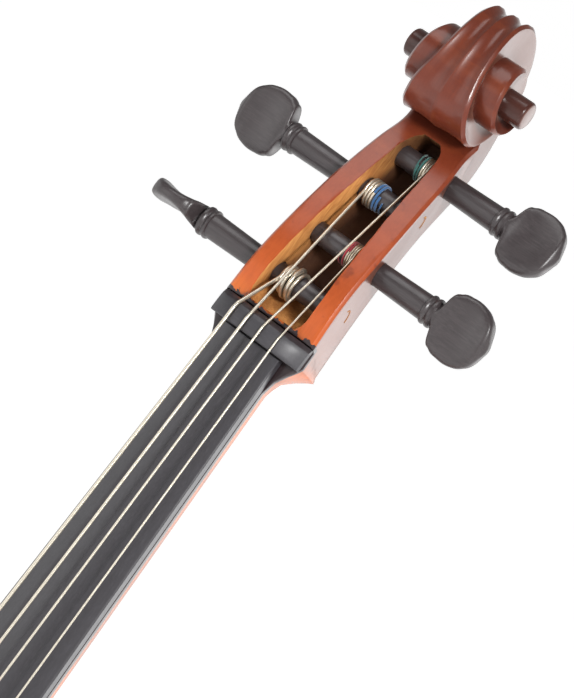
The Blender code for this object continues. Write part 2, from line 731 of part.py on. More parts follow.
def build_windings():
    for string in "cgda":
        _, _, a, f, _, _ = peg_of(string)
        r0 = wind_radius(string)
        mid, half = WIND_X[string], WIND_LEN[string] / 2
        outer = r0 + 2 * STRING_R[string] + 0.1
        inner = r0 + 0.15
        rings = []
        loop = [(mid - half, inner), (mid - half, outer), (mid + half, outer), (mid + half, inner)]
        turns = np.arange(20) * 2 * math.pi / 20
        bm = bmesh.new()
        rows = [[bm.verts.new(to_world(x, a + r * math.cos(t), f + r * math.sin(t))) for t in turns]
                for x, r in loop]
        grid_faces(bm, rows + [rows[0]], closed=True)
        add_object("winding_" + string, bm, "string_steel", origin=to_world(0, a, f), angle=30.0)


# ---------------------------------------------------------------- body fittings

F_STEM = [(56, 401), (60, 411), (68, 413), (75.5, 404), (77.5, 385), (78, 352), (80.5, 318),
          (88, 298), (98, 290), (107, 288), (113, 292)]
F_WIDE = [2.5, 3.5, 4.0, 4.5, 4.8, 5.0, 4.8, 4.5, 4.0, 3.5, 2.5]
F_EYES = [(54, 407, 6.2), (111.5, 297, 8.2)]


def f_outline(mirror):
    """Outline of one f-hole as (x, z) points."""
    mid = resample([(p[0], p[1], w) for p, w in zip(F_STEM, F_WIDE)], 9.0)
    tangent = np.gradient(mid[:, :2], axis=0)
    tangent /= np.linalg.norm(tangent, axis=1)[:, None]
    normal = np.stack([-tangent[:, 1], tangent[:, 0]], 1)
    wide = mid[:, 2:3]
    left = mid[:, :2] + normal * wide
    right = mid[:, :2] - normal * wide
    ring = list(left) + list(right)[::-1]
    return [(mirror * p[0], BODY_Z + p[1]) for p in ring]


def cut_plate(top):
    low, high = -(RIB_HALF + EDGE + TOP_ARCH + 20), -RIB_HALF + 5
    for mirror, side in ((-1, "left"), (1, "right")):
        cut(top, extruded(f_outline(mirror), low, high), "f_" + side)
        for x, u, r in F_EYES:
            centre = (mirror * x, low, BODY_Z + u)
            cut(top, turned([(0, r), (high - low, r)], centre, (0, 1, 0), 16), "eye")
    heel = box_mesh((-21.4, 21.4), (low, high), (BODY_Z + BODY_LEN - 10.6, BODY_Z + BODY_LEN + 9))
    cut(top, heel, "heel")
    saddle = box_mesh((-20.3, 20.3), (low, high), (BODY_Z - 9, BODY_Z + 9.3))
    cut(top, saddle, "saddle")
    apply_cuts(top)


def inner_face(x, u, side):
    """|y| of a plate's inner face (side -1 the front, +1 the back)."""
    return RIB_HALF + arch(abs(x), u, TOP_ARCH if side < 0 else BACK_ARCH)


def lining_path():
    """Outer face of the lining along one half of the body, cutting across the corners."""
    lower, waist, upper = rib_curves()
    runs = []
    for curve, others in ((lower, (waist,)), (waist, (lower, upper)), (upper, (waist,))):
        inside = offset_curve(curve, RIB_T + GAP)
        far = [min(np.min(np.linalg.norm(o - p, axis=1)) for o in others) > 14 for p in curve]
        runs.append(inside[np.array(far)])
    path = np.concatenate(runs)
    return path[path[:, 0] > 36]


def build_linings():
    path = lining_path()
    inner = offset_curve(path, 2.4)
    ring = list(path) + list(inner)[::-1]
    for side, label in ((-1, "front"), (1, "back")):
        low, high = sorted((side * (RIB_HALF - GAP), side * (RIB_HALF - 17)))
        for mirror, hand in ((-1, "left"), (1, "right")):
            run = [(mirror * p[0], BODY_Z + p[1]) for p in ring]
            add_object("lining_%s_%s" % (label, hand), extruded(run, low, high), "bare_spruce")


def build_blocks():
    deep = RIB_HALF - GAP
    top_u = BODY_LEN - OVERHANG - RIB_T - GAP
    top = [(-33, top_u - 1.2), (-33, top_u - 32), (33, top_u - 32), (33, top_u - 1.2),
           (20.6, top_u), (20.6, top_u - 6), (-20.6, top_u - 6), (-20.6, top_u)]
    add_object("top_block", extruded([(x, BODY_Z + u) for x, u in top], -deep, deep), "bare_spruce")
    low_u = OVERHANG + RIB_T + GAP
    bottom = [(-33, low_u + 1.6), (33, low_u + 1.6), (33, low_u + 28), (-33, low_u + 28)]
    block = add_object("bottom_block", extruded([(x, BODY_Z + u) for x, u in bottom], -deep, deep),
                       "bare_spruce")
    cut(block, turned([(0, 12.5), (60, 12.5)], (0, 0, BODY_Z - 10), (0, 0, 1), 24), "collar_bore")
    apply_cuts(block)
    corner = {"lower": [(181, 327), (174.5, 336), (155, 344), (147, 337), (164, 314), (178, 314)],
              "upper": [(146, 507), (136, 500), (127, 502), (128, 522), (140, 528), (144, 518)]}
    tall = RIB_HALF - 17 - GAP
    for label, shape in corner.items():
        for mirror, hand in ((-1, "left"), (1, "right")):
            ring = [(mirror * x, BODY_Z + u) for x, u in shape]
            add_object("corner_block_%s_%s" % (label, hand), extruded(ring, -tall, tall), "bare_spruce")


def build_bars():
    """Bass bar under the left bridge foot, sound post behind the right one."""
    rings = []
    for u in np.linspace(130, 640, 12):
        x = -44 + (u - 355) * 0.012
        tall = 3 + 20 * math.sin(math.pi * (u - 110) / 550) ** 1.5
        skin = min(inner_face(x - 5.5, u, -1), inner_face(x + 5.5, u, -1)) - 2.0
        rings.append([(x - 5.5, -skin, BODY_Z + u), (x + 5.5, -skin, BODY_Z + u),
                      (x + 4, -skin + tall, BODY_Z + u), (x - 4, -skin + tall, BODY_Z + u)])
    add_object("bass_bar", lofted(rings), "bare_spruce")
    x, u, r = 43.0, BRIDGE_U - 14, 5.5
    turns = np.arange(16) * 2 * math.pi / 16
    rings = []
    for side in (-1, 1):
        rings.append([(x + r * math.cos(t), side * (inner_face(x + r * math.cos(t), u + r * math.sin(t), side)
                                                    - 2.6), BODY_Z + u + r * math.sin(t))
                      for t in turns])
    add_object("sound_post", lofted(rings), "bare_spruce")


BRIDGE_HALF = [(0, 30), (10, 31), (17, 24), (22, 12), (28, 7), (28, 2), (29, 0), (45, 0), (46, 2.5),
               (42, 7), (36, 12), (33, 22), (37, 30), (42, 32.5), (41, 38), (33, 40), (29, 45),
               (31, 52), (36, 60), (36, 70), (32.5, 78)]


def bridge_crown(x):
    return BRIDGE_H - (BOARD_R - math.sqrt(BOARD_R ** 2 - x ** 2))


def build_bridge():
    crown = [(x, bridge_crown(x)) for x in (24, 16, 8, 0)]
    half = BRIDGE_HALF[:-1] + [(29, bridge_crown(29) - 1.5)] + crown
    ring = half + [(-x, h) for x, h in half[-2:0:-1]]
    foot = RIB_HALF + EDGE + TOP_ARCH + GAP
    bm = bmesh.new()
    rows = []
    for side in (-1, 1):
        row = []
        for x, h in ring:
            thick = 5.5 - 4.2 * min(1.0, h / BRIDGE_H) ** 0.8
            drop = arch(0, BRIDGE_U, TOP_ARCH) - arch(abs(x), BRIDGE_U, TOP_ARCH) if h < 2.5 else 0.0
            row.append(bm.verts.new((x, -(foot + h - drop + (arch(0, BRIDGE_U, TOP_ARCH) - TOP_ARCH)),
                                     BODY_Z + BRIDGE_U + side * thick)))
        rows.append(row)
    grid_faces(bm, rows, closed=True)
    for row in rows:
        bm.faces.new(row)
    bridge = add_object("bridge", bm, "bridge_maple")
    cut_windows(bridge, foot)
    return bridge


def cut_windows(bridge, foot):
    """Heart and two side windows of the bridge."""
    holes = [[(0, 44), (6, 50), (7.5, 56), (4.5, 60), (0, 57), (-4.5, 60), (-7.5, 56), (-6, 50)],
             [(15, 40), (23, 46), (25, 55), (20, 61), (15, 55), (13, 47)],
             [(-15, 40), (-23, 46), (-25, 55), (-20, 61), (-15, 55), (-13, 47)]]
    for hole in holes:
        bm = bmesh.new()
        rows = [[bm.verts.new((x, -(foot + h), BODY_Z + BRIDGE_U + side * 12)) for x, h in hole]
                for side in (-1, 1)]
        grid_faces(bm, rows, closed=True)
        for row in rows:
            bm.faces.new(row)
        cut(bridge, bm, "window")
    apply_cuts(bridge)


def build_saddle():
    base = RIB_HALF + EDGE
    low, high = BODY_Z - 1.5, BODY_Z + 9.0
    rings = []
    for x in np.linspace(-20, 20, 9):
        rise = 3.0 + 7.0 * math.cos(math.pi * x / 44) ** 0.7
        rings.append([(x, -(RIB_HALF + GAP), low), (x, -(base + rise * 0.75), low),
                      (x, -(base + rise), low + 3.5), (x, -(base + rise * 0.7), high),
                      (x, -(RIB_HALF + GAP), high)])
    return add_object("saddle", lofted(rings), "ebony")


# ---------------------------------------------------------------- tailpiece

TUNER_X = (-22.5, -7.5, 7.5, 22.5)
AXLE_T, AXLE_N = TAIL_LEN - 7.0, -2.5
ARM = 25.0                   # screw to axle
ROD_TUNER_R = 1.8


def tail_point(x, t, n):
    y, z = tail_line(t, n)
    return (x, y, z)


def tail_dirs():
    low, high = np.array(tail_line(0, 0)), np.array(tail_line(1, 0))
    along = np.array((0, *(high - low)))
    out = np.array((0, *(np.array(tail_line(0, 1)) - low)))
    return along, out


def build_tailpiece():
    rings = []
    for t, half, thick in ((0, 15, 5), (3, 17, 7), (60, 20, 8), (130, 23.5, 8), (190, 27, 8),
                           (225, 29.5, 8), (TAIL_LEN - 2, 30.5, 8), (TAIL_LEN, 29.8, 7)):
        xs = np.linspace(-half, half, 9)
        top = [(x, thick * 0.45 + 2.5 - 5.0 * (x / half) ** 2) for x in xs]
        low = [(x, n - thick * 0.95 + 1.5 * (x / half) ** 2) for x, n in top[::-1]]
        rings.append([tail_point(x, t, n) for x, n in top + low])
    tail = add_object("tailpiece", lofted(rings), "black_resin", angle=35.0)
    along, out = tail_dirs()
    for i, x in enumerate(TUNER_X):
        slot = [(AXLE_T - 5.8, -16), (TAIL_LEN + 4, -16), (TAIL_LEN + 4, 12), (AXLE_T - 5.8, 12)]
        bm = bmesh.new()
        rows = [[bm.verts.new(tail_point(x + side * 2.6, t, n)) for t, n in slot] for side in (-1, 1)]
        grid_faces(bm, rows, closed=True)
        for row in rows:
            bm.faces.new(row)
        cut(tail, bm, "slot")
        cut(tail, turned([(-16, ROD_TUNER_R + 0.3), (16, ROD_TUNER_R + 0.3)],
                         tail_point(x, AXLE_T - ARM, 0), out, 14), "screw_hole")
    cut(tail, turned([(-27.6, 1.3), (27.6, 1.3)], tail_point(0, AXLE_T, AXLE_N), (1, 0, 0), 12), "axle")
    for x in (-8.5, 8.5):
        cut(tail, turned([(-6, 2.1), (16, 2.1)], tail_point(x, 0, -0.8), along, 12), "gut_hole")
    apply_cuts(tail)


def build_tuners():
    along, out = tail_dirs()
    turns = np.arange(16) * 2 * math.pi / 16
    for label, x in zip("cgda", TUNER_X):
        hull = [(-3.4, -3.6), (-3.4, 8.6), (3.2, 8.6), (4.4, 3.0), (4.4, -5.0), (2.6, -11.6),
                (-ARM - 2.6, -11.6), (-ARM - 2.6, -9.8), (-4.6, -9.4)]
        bm = bmesh.new()
        rows = [[bm.verts.new(tail_point(x + side * 2.2, AXLE_T + t, AXLE_N + n)) for t, n in hull]
                for side in (-1, 1)]
        grid_faces(bm, rows, closed=True)
        for row in rows:
            bm.faces.new(row)
        pivot = tail_point(x, AXLE_T, AXLE_N)
        lever = add_object("tuner_lever_" + label, bm, "steel", origin=pivot)
        cut(lever, turned([(-4, 1.35), (4, 1.35)], pivot, (1, 0, 0), 12), "axle_hole")
        apply_cuts(lever)
        foot = tail_point(x, AXLE_T - ARM, AXLE_N - 9.8 + 0.5)
        rod = [(0, 1.2), (0.8, ROD_TUNER_R), (30.4, ROD_TUNER_R), (31.2, 1.2)]
        add_object("tuner_rod_" + label, turned(rod, foot, out, 14), "steel", origin=foot)
        head_at = np.array(foot) + out * 22.2
        ring = [(0.0, ROD_TUNER_R + 0.3), (0.0, 4.6), (1.0, 5.6), (6.2, 5.6), (7.2, 4.8),
                (7.2, ROD_TUNER_R + 0.3)]
        bm = bmesh.new()
        side_dir = np.array((1.0, 0, 0))
        up = np.cross(out, side_dir)
        rows = []
        for n, r in ring:
            rows.append([bm.verts.new(tuple(head_at + out * n + r * (math.cos(t) * side_dir
                                                                    + math.sin(t) * up)))
                         for t in turns])
        grid_faces(bm, rows + [rows[0]], closed=True)
        add_object("tuner_head_" + label, bm, "steel", origin=tuple(head_at))
    axle = turned([(-27.2, 1.0), (27.2, 1.0)], tail_point(0, AXLE_T, AXLE_N), (1, 0, 0), 12)
    add_object("tuner_axle", axle, "steel")


def build_tail_gut():
    """One cord: out of the tailpiece, over the saddle and around the endpin collar."""
    half = []
    top = -(RIB_HALF + EDGE + 10.0 + 1.9)
    start = tail_line(6.0, -0.8)
    half.append((8.5, start[0], start[1]))
    out = tail_line(-2.0, -0.8)
    half.append((8.5, out[0], out[1]))
    half.append((8.5, top - 0.4, BODY_Z + 4.0))
    half.append((8.6, top - 0.2, BODY_Z + 0.5))
    half.append((9.4, top + 3.5, BODY_Z - 3.2))
    half.append((11.6, -50.0, BODY_Z - 3.6))
    half.append((16.4, -6.0, BODY_Z - 3.6))
    for deg in (10, 35, 60, 90):
        t = math.radians(deg)
        half.append((16.6 * math.cos(t), 16.6 * math.sin(t), BODY_Z - 3.6))
    path = half + [(-x, y, z) for x, y, z in half[-2::-1]]
    add_object("tail_gut", tube(path, 1.55, 8), "nylon", angle=60.0)


def build_endpin():
    low = BODY_Z
    collar = [(-16.0, 12.5), (-13.0, 15.5), (-7.0, 15.5), (-5.4, 14.6),
              (-1.8, 14.6), (-0.4, 15.6), (0.6, 15.6), (OVERHANG + RIB_T + GAP, 12.1),
              (24.0, 11.9), (24.0, ROD_R + GAP), (-16.0, ROD_R + GAP)]
    bm = bmesh.new()
    turns = np.arange(20) * 2 * math.pi / 20
    rows = [[bm.verts.new((r * math.cos(t), r * math.sin(t), low + z)) for t in turns] for z, r in collar]
    grid_faces(bm, rows + [rows[0]], closed=True)
    body = add_object("endpin_collar", bm, "ebony")
    cut(body, turned([(0, 2.8), (30, 2.8)], (0, 2, low - 10.0), (0, 1, 0), 16), "screw_hole")
    apply_cuts(body)
    rod = [(14.0, 3.6), (TIP_H + 1, ROD_R - 0.9), (TIP_H + 2.5, ROD_R), (ROD_LEN - 2, ROD_R),
           (ROD_LEN, ROD_R - 2)]
    add_object("endpin_rod", turned(rod, (0, 0, 0), (0, 0, 1), 20), "steel")
    tip = [(0.0, 8.5), (2.0, 9.6), (10.0, 9.0), (22.0, 8.0), (TIP_H - 1, 7.6), (TIP_H, 6.6),
           (TIP_H, ROD_R + GAP), (14.0 - GAP, ROD_R + GAP)]
    bm = bmesh.new()
    rows = [[bm.verts.new((r * math.cos(t), r * math.sin(t), z)) for t in turns] for z, r in tip]
    grid_faces(bm, rows, closed=True)
    bm.faces.new(rows[0])
    bm.faces.new(rows[-1])
    add_object("rubber_tip", bm, "rubber")
    screw = [(0.0, 2.0), (0.6, 2.4), (12.5, 2.4), (12.6, 4.0), (14.0, 4.0)]
    start = (0, ROD_R + GAP, low - 10.0)
    rings = []
    for along, r in screw:
        rings.append([(r * math.cos(t), start[1] + along, start[2] + r * math.sin(t))
                      for t in np.arange(20) * 2 * math.pi / 20])
    for along, wide, thick in ((15.0, 6.5, 2.6), (17.0, 8.4, 1.9), (22.0, 9.4, 1.7), (26.0, 8.0, 1.7),
                               (28.0, 4.0, 1.4)):
        rings.append([(thick * math.cos(t), start[1] + along, start[2] + wide * math.sin(t))
                      for t in np.arange(20) * 2 * math.pi / 20])
    add_object("endpin_thumb_screw", lofted(rings), "steel", origin=start)


def build_parts():
    build_neck()
    cut_plate(build_plates())
    build_ribs()
    build_linings()
    build_blocks()
    build_bars()
    for peg, ring_x in zip(PEGS, RING_X):
        build_peg(*peg, ring_x)
    build_fingerboard()
    build_nut()
    build_windings()
    build_strings()
    build_bridge()
    build_saddle()
    build_tailpiece()
    build_tuners()
    build_tail_gut()
    build_endpin()


clear_scene()
build_parts()
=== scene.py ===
"""Looks of the cello: varnish, ebony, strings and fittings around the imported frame.

Lengths are millimetres in the same frame as the CAD; MM makes metres.
"""

import math

import bmesh
import bpy
import numpy as np
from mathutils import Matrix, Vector
from mathutils.bvhtree import BVHTree


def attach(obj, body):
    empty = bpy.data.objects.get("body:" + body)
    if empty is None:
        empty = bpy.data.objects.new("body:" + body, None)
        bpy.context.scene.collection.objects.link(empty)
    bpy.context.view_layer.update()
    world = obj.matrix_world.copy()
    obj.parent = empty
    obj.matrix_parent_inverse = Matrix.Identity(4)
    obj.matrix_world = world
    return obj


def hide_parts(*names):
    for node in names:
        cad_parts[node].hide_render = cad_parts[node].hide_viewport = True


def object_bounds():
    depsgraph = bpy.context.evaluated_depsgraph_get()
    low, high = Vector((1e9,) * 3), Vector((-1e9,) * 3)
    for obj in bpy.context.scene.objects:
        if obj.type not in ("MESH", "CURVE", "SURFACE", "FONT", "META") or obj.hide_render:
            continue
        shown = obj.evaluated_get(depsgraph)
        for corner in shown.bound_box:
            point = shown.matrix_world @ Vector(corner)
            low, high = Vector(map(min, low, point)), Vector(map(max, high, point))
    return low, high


MM = 0.001
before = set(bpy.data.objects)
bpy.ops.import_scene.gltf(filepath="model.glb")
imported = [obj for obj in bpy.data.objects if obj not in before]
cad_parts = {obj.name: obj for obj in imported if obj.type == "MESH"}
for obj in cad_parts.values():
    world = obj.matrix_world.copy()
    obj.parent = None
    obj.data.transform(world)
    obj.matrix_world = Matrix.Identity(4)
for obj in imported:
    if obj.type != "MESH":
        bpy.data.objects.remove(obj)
CAD_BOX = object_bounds()

# ---------------------------------------------------------------- dimensions

BODY_Z = 270.0
BODY_LEN = 755.0
RIB_HALF = 58.5
EDGE = 4.5
OVERHANG = 4.0
RIB_T = 1.6
RIB_GAP = 0.15               # between a rib and a plate
COLLAR_HOLE = 14.2
TOP_ARCH = 27.0
BACK_ARCH = 28.0
BRIDGE_U = 355.0
WIDEST = 219.85              # half width the finer outline stays within
LOWER_BOUT = [(0, 0), (60, 3), (110, 12), (150, 31), (190, 74), (212, 120), (220, 170),
              (216, 220), (204, 265), (190, 298), (187, 314), (198, 333)]
WAIST = [(193, 342), (178, 344), (160, 351), (140, 366), (124, 390), (116, 415),
         (115, 438), (119, 463), (128, 482), (140, 495), (158, 506)]
UPPER_BOUT = [(152, 516), (150, 526), (153, 545), (162, 575), (169, 605), (170, 630),
              (164, 665), (148, 700), (120, 730), (85, 746), (40, 753.5), (0, 755)]
ARCH_WIDTH = [(0, 120), (40, 160), (80, 186), (165, 210), (250, 200), (330, 150), (430, 106),
              (510, 128), (560, 146), (625, 161), (680, 150), (720, 118), (755, 90)]

NECK_TILT = math.radians(10.0)
NECK_LEN = 280.0
OVERSTAND = 20.0
NECK_W = 15.7
NECK_TAPER = 0.0262
NECK_DEPTH = (21.0, 22.5)
BOARD_LEN = 580.0
BOARD_R = 65.0
BOARD_EDGE = 5.2
NUT_T = 11.2
HEAD_W = 24.0

BOX_FRONT = [(11.6, 2.8, 23.8), (26, 3.2, 23.2), (40, 1.5, 22.6), (55, -2.5, 22.1),
             (80, -11, 20.9), (104, -21.5, 18.9), (117, -27.5, 17.3)]
BOX_BACK = [(2, -22.5, 23.4), (20, -25.0, 21.8), (40, -28.8, 20), (60, -34.6, 18),
            (76, -41.2, 16.3)]

EYE_A, EYE_F = 142.6, -18.0
EYE_R = 6.5
EYE_X = 31.6
THROAT = math.radians(304.0)
SPIRAL_END = 754.0
SPIRAL = [(-56, 58.5), (-45, 52.4), (-30, 45.2), (-15, 39.6), (0, 36.2), (45, 35.2), (90, 32.9),
          (110, 29.6), (130, 24.8), (152, 21.0), (189, 19.2), (231, 23.3), (263, 24.8), (285, 23.9),
          (304, 21.8), (360, 18.6), (450, 16.2), (540, 15.0), (630, 13.9), (690, 11.7), (754, 6.5)]
BAND_W = [(-56, 14.6), (-30, 13.2), (0, 11.4), (60, 9.6), (100, 9.2), (150, 10.6), (190, 12.4),
          (230, 15.4), (263, 17.6), (304, 18.0), (360, 18.2), (450, 19.4), (540, 22.4), (630, 25.2),
          (754, 26.4)]
FOOT_W = [(304, 16.6), (330, 14.8), (360, 12.6), (420, 9.8), (470, 9.4), (540, 11.4), (610, 14.0),
          (664, 15.8), (720, 17.2), (754, 18.0), (840, 19.0), (930, 20.2), (1114, 21.2)]
CHAMFER = 1.4
HEAD_CLEAR = 0.01            # the head's mesh stays this far under the CAD's top
HOLE_CLEAR = 0.15            # round a peg in its hole
FLUTE = [(-56, 2.2), (90, 2.0), (180, 1.8), (250, 1.0), (304, 0.5)]

PEGS = [("c", -1, 29.0, -9.8, 90.0), ("a", 1, 53.2, -15.0, 15.0),
        ("g", -1, 80.3, -24.5, 10.0), ("d", 1, 101.5, -32.0, -10.0)]
RING_X = (50.4, 47.0, 48.4, 43.0)
PEG_R0, PEG_TAPER = 5.9, 0.019
PEG_END = 2.8                # wood left over a peg's far end
STRING_X = {"c": -1.0, "g": -1 / 3, "d": 1 / 3, "a": 1.0}
STRING_R = {"c": 0.85, "g": 0.68, "d": 0.55, "a": 0.45}
NUT_SPREAD, BRIDGE_SPREAD = 12.0, 23.5

BRIDGE_H = 90.0
TAIL_LEN = 235.0

# resolution
WELD = 0.004                 # points closer than this are one
BAND = 24
SIDE = 10
TURN = 96

# camera: place, turn and lens in metres and radians
CAMERA_AT = (0.4266, -1.0888, 1.4785)
CAMERA_TURN = (1.3914, -0.5670, 0.4702)
CAMERA_LENS = 95.63
CAMERA_SENSOR = 24.0
CAMERA_NEAR = 0.05

# studio, metres
FLOOR = 60.0
FLOOR_Z = -0.0008
FLOOR_CELLS = 24
FLOOR_GLOW = 0.72
SKY = ((0.1, 1.0), (0.45, 0.25))      # height of the direction, level
HEAD_AT = (0.0, -0.06, 1.36)
# name, place, aim, size and power in watts
LIGHTS = [("key", (1.54, -1.42, 2.15), HEAD_AT, (0.45, 0.45), 56),
          ("rim", (1.25, 2.3, 1.4), HEAD_AT, (1.6, 2.4), 20),
          ("top", (-0.55, -0.6, 2.75), HEAD_AT, (0.8, 1.1), 9),
          ("fill", (-1.6, -2.0, 1.2), (0, 0, 0.8), (1.6, 1.8), 10)]


# ---------------------------------------------------------------- curves and frames

def smooth(x, table):
    """Cubic Hermite curve through (x, y) pairs."""
    xs = np.array([p[0] for p in table], float)
    ys = np.array([p[1] for p in table], float)
    slope = np.gradient(ys, xs)
    x = np.clip(np.asarray(x, float), xs[0], xs[-1])
    i = np.clip(np.searchsorted(xs, x, side="right") - 1, 0, len(xs) - 2)
    h = xs[i + 1] - xs[i]
    t = (x - xs[i]) / h
    return ((2 * t**3 - 3 * t**2 + 1) * ys[i] + (t**3 - 2 * t**2 + t) * h * slope[i]
            + (3 * t**2 - 2 * t**3) * ys[i + 1] + (t**3 - t**2) * h * slope[i + 1])


def resample(points, step):
    """Points every `step` along a smooth curve through the given points."""
    pts = np.array(points, float)
    dist = np.concatenate([[0], np.cumsum(np.linalg.norm(np.diff(pts, axis=0), axis=1))])
    at = np.linspace(0, dist[-1], max(2, int(round(dist[-1] / step)) + 1))
    return np.stack([smooth(at, list(zip(dist, pts[:, k]))) for k in range(pts.shape[1])], 1)


def frame_point(a, f):
    """World y, z of a point in the neck frame."""
    s, c = math.sin(NECK_TILT), math.cos(NECK_TILT)
    y0 = -(RIB_HALF + EDGE + OVERSTAND) + NECK_LEN * s
    z0 = BODY_Z + BODY_LEN + NECK_LEN * c
    return y0 + a * s - f * c, z0 + a * c + f * s


def neck_coords(y, z):
    """Neck frame a, f of a world point."""
    s, c = math.sin(NECK_TILT), math.cos(NECK_TILT)
    y0, z0 = frame_point(0, 0)
    return (y - y0) * s + (z - z0) * c, -(y - y0) * c + (z - z0) * s


def to_world(x, a, f):
    y, z = frame_point(a, f)
    return (x, y, z)


# ---------------------------------------------------------------- mesh helpers

def piece(name, bm, mats, body, nodes=(), angle=35.0):
    """Object from a bmesh in millimetres that rides on a body and replaces CAD nodes."""
    bmesh.ops.remove_doubles(bm, verts=bm.verts, dist=WELD)
    bmesh.ops.recalc_face_normals(bm, faces=bm.faces)
    for v in bm.verts:
        v.co = v.co * MM
    mesh = bpy.data.meshes.new(name)
    bm.to_mesh(mesh)
    bm.free()
    for face in mesh.polygons:
        face.use_smooth = True
    mesh.set_sharp_from_angle(angle=math.radians(angle))
    for mat in mats if isinstance(mats, (list, tuple)) else [mats]:
        mesh.materials.append(mat)
    obj = bpy.data.objects.new(name, mesh)
    bpy.context.scene.collection.objects.link(obj)
    if body:
        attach(obj, body)
        if nodes:
            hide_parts(*nodes)
    return obj


def cut(target, bm, mat=None):
    """Subtract a closed bmesh (millimetres); its faces keep their own material."""
    cutter = piece("cutter", bm, mat or target.data.materials[0], None)
    mod = target.modifiers.new("cut", "BOOLEAN")
    mod.operation = "DIFFERENCE"
    mod.solver = "EXACT"
    mod.material_mode = "TRANSFER"
    mod.object = cutter


def bake(target, angle=35.0, bevel=0.0):
    """Apply the cuts, then an optional small bevel along the sharp edges."""
    cutters = [m.object for m in target.modifiers if m.type == "BOOLEAN"]
    if bevel:
        mod = target.modifiers.new("edge", "BEVEL")
        mod.width = bevel * MM
        mod.segments = 2
        mod.limit_method = "ANGLE"
        mod.angle_limit = math.radians(38)
    graph = bpy.context.evaluated_depsgraph_get()
    graph.update()
    mesh = bpy.data.meshes.new_from_object(target.evaluated_get(graph))
    target.modifiers.clear()
    target.data = mesh
    mesh.set_sharp_from_angle(angle=math.radians(angle))
    for cutter in cutters:
        bpy.data.objects.remove(cutter, do_unlink=True)


def normals(points):
    """Unit normals to the left of a plane curve."""
    tangent = np.gradient(points, axis=0)
    tangent /= np.linalg.norm(tangent, axis=1)[:, None]
    return np.stack([-tangent[:, 1], tangent[:, 0]], 1)


def grid_faces(bm, rows, closed=False):
    for low, high in zip(rows, rows[1:]):
        n = len(low)
        for i in range(n if closed else n - 1):
            j = (i + 1) % n
            bm.faces.new((low[i], low[j], high[j], high[i]))


def lofted(sections, bm=None):
    """Closed solid through the rings, capped at both ends."""
    bm = bm or bmesh.new()
    rows = [[bm.verts.new(tuple(p)) for p in ring] for ring in sections]
    grid_faces(bm, rows, closed=True)
    bm.faces.new(rows[0])
    bm.faces.new(rows[-1])
    return bm


def circle(centre, side, up, radius, sides):
    turns = np.arange(sides) * 2 * math.pi / sides
    return [np.array(centre) + radius * (math.cos(t) * side + math.sin(t) * up) for t in turns]


def axes_of(axis):
    axis = np.array(axis, float) / np.linalg.norm(axis)
    side = np.cross(axis, (0, 0, 1) if abs(axis[2]) < 0.9 else (1, 0, 0))
    side /= np.linalg.norm(side)
    return axis, side, np.cross(axis, side)


def turned(profile, centre, axis, sides=48):
    """Solid of revolution: profile of (distance along axis, radius)."""
    axis, side, up = axes_of(axis)
    return lofted([circle(np.array(centre, float) + axis * d, side, up, r, sides)
                   for d, r in profile])


def ring_solid(profile, centre, axis, sides=48):
    """Hollow turned piece: the profile is a closed loop."""
    axis, side, up = axes_of(axis)
    bm = bmesh.new()
    rows = [[bm.verts.new(tuple(p))
             for p in circle(np.array(centre, float) + axis * d, side, up, r, sides)]
            for d, r in profile]
    grid_faces(bm, rows + [rows[0]], closed=True)
    return bm


def tube(path, radius, sides=12, bm=None):
    """Round bar along a path."""
    pts = np.array(path, float)
    side = None
    rings = []
    for i, p in enumerate(pts):
        ahead = pts[min(i + 1, len(pts) - 1)] - pts[max(i - 1, 0)]
        ahead = ahead / np.linalg.norm(ahead)
        if side is None:
            side = np.cross(ahead, (1, 0, 0) if abs(ahead[0]) < 0.9 else (0, 0, 1))
        side = side - ahead * np.dot(side, ahead)
        side /= np.linalg.norm(side)
        rings.append(circle(p, side, np.cross(ahead, side), radius, sides))
    return lofted(rings, bm)


def prism(outline, low, high):
    """Prism of an (x, z) outline between two y values."""
    return lofted([[(p[0], y, p[1]) for p in outline] for y in (low, high)])


# ---------------------------------------------------------------- materials

RIBBON = 1600.0              # turns of ribbon to a metre of string
# a weak clear coat, so that white surroundings do not veil the colour
VARNISH = {"Coat_Weight": 1.0, "Coat_IOR": 1.32, "Specular_IOR_Level": 0.15}


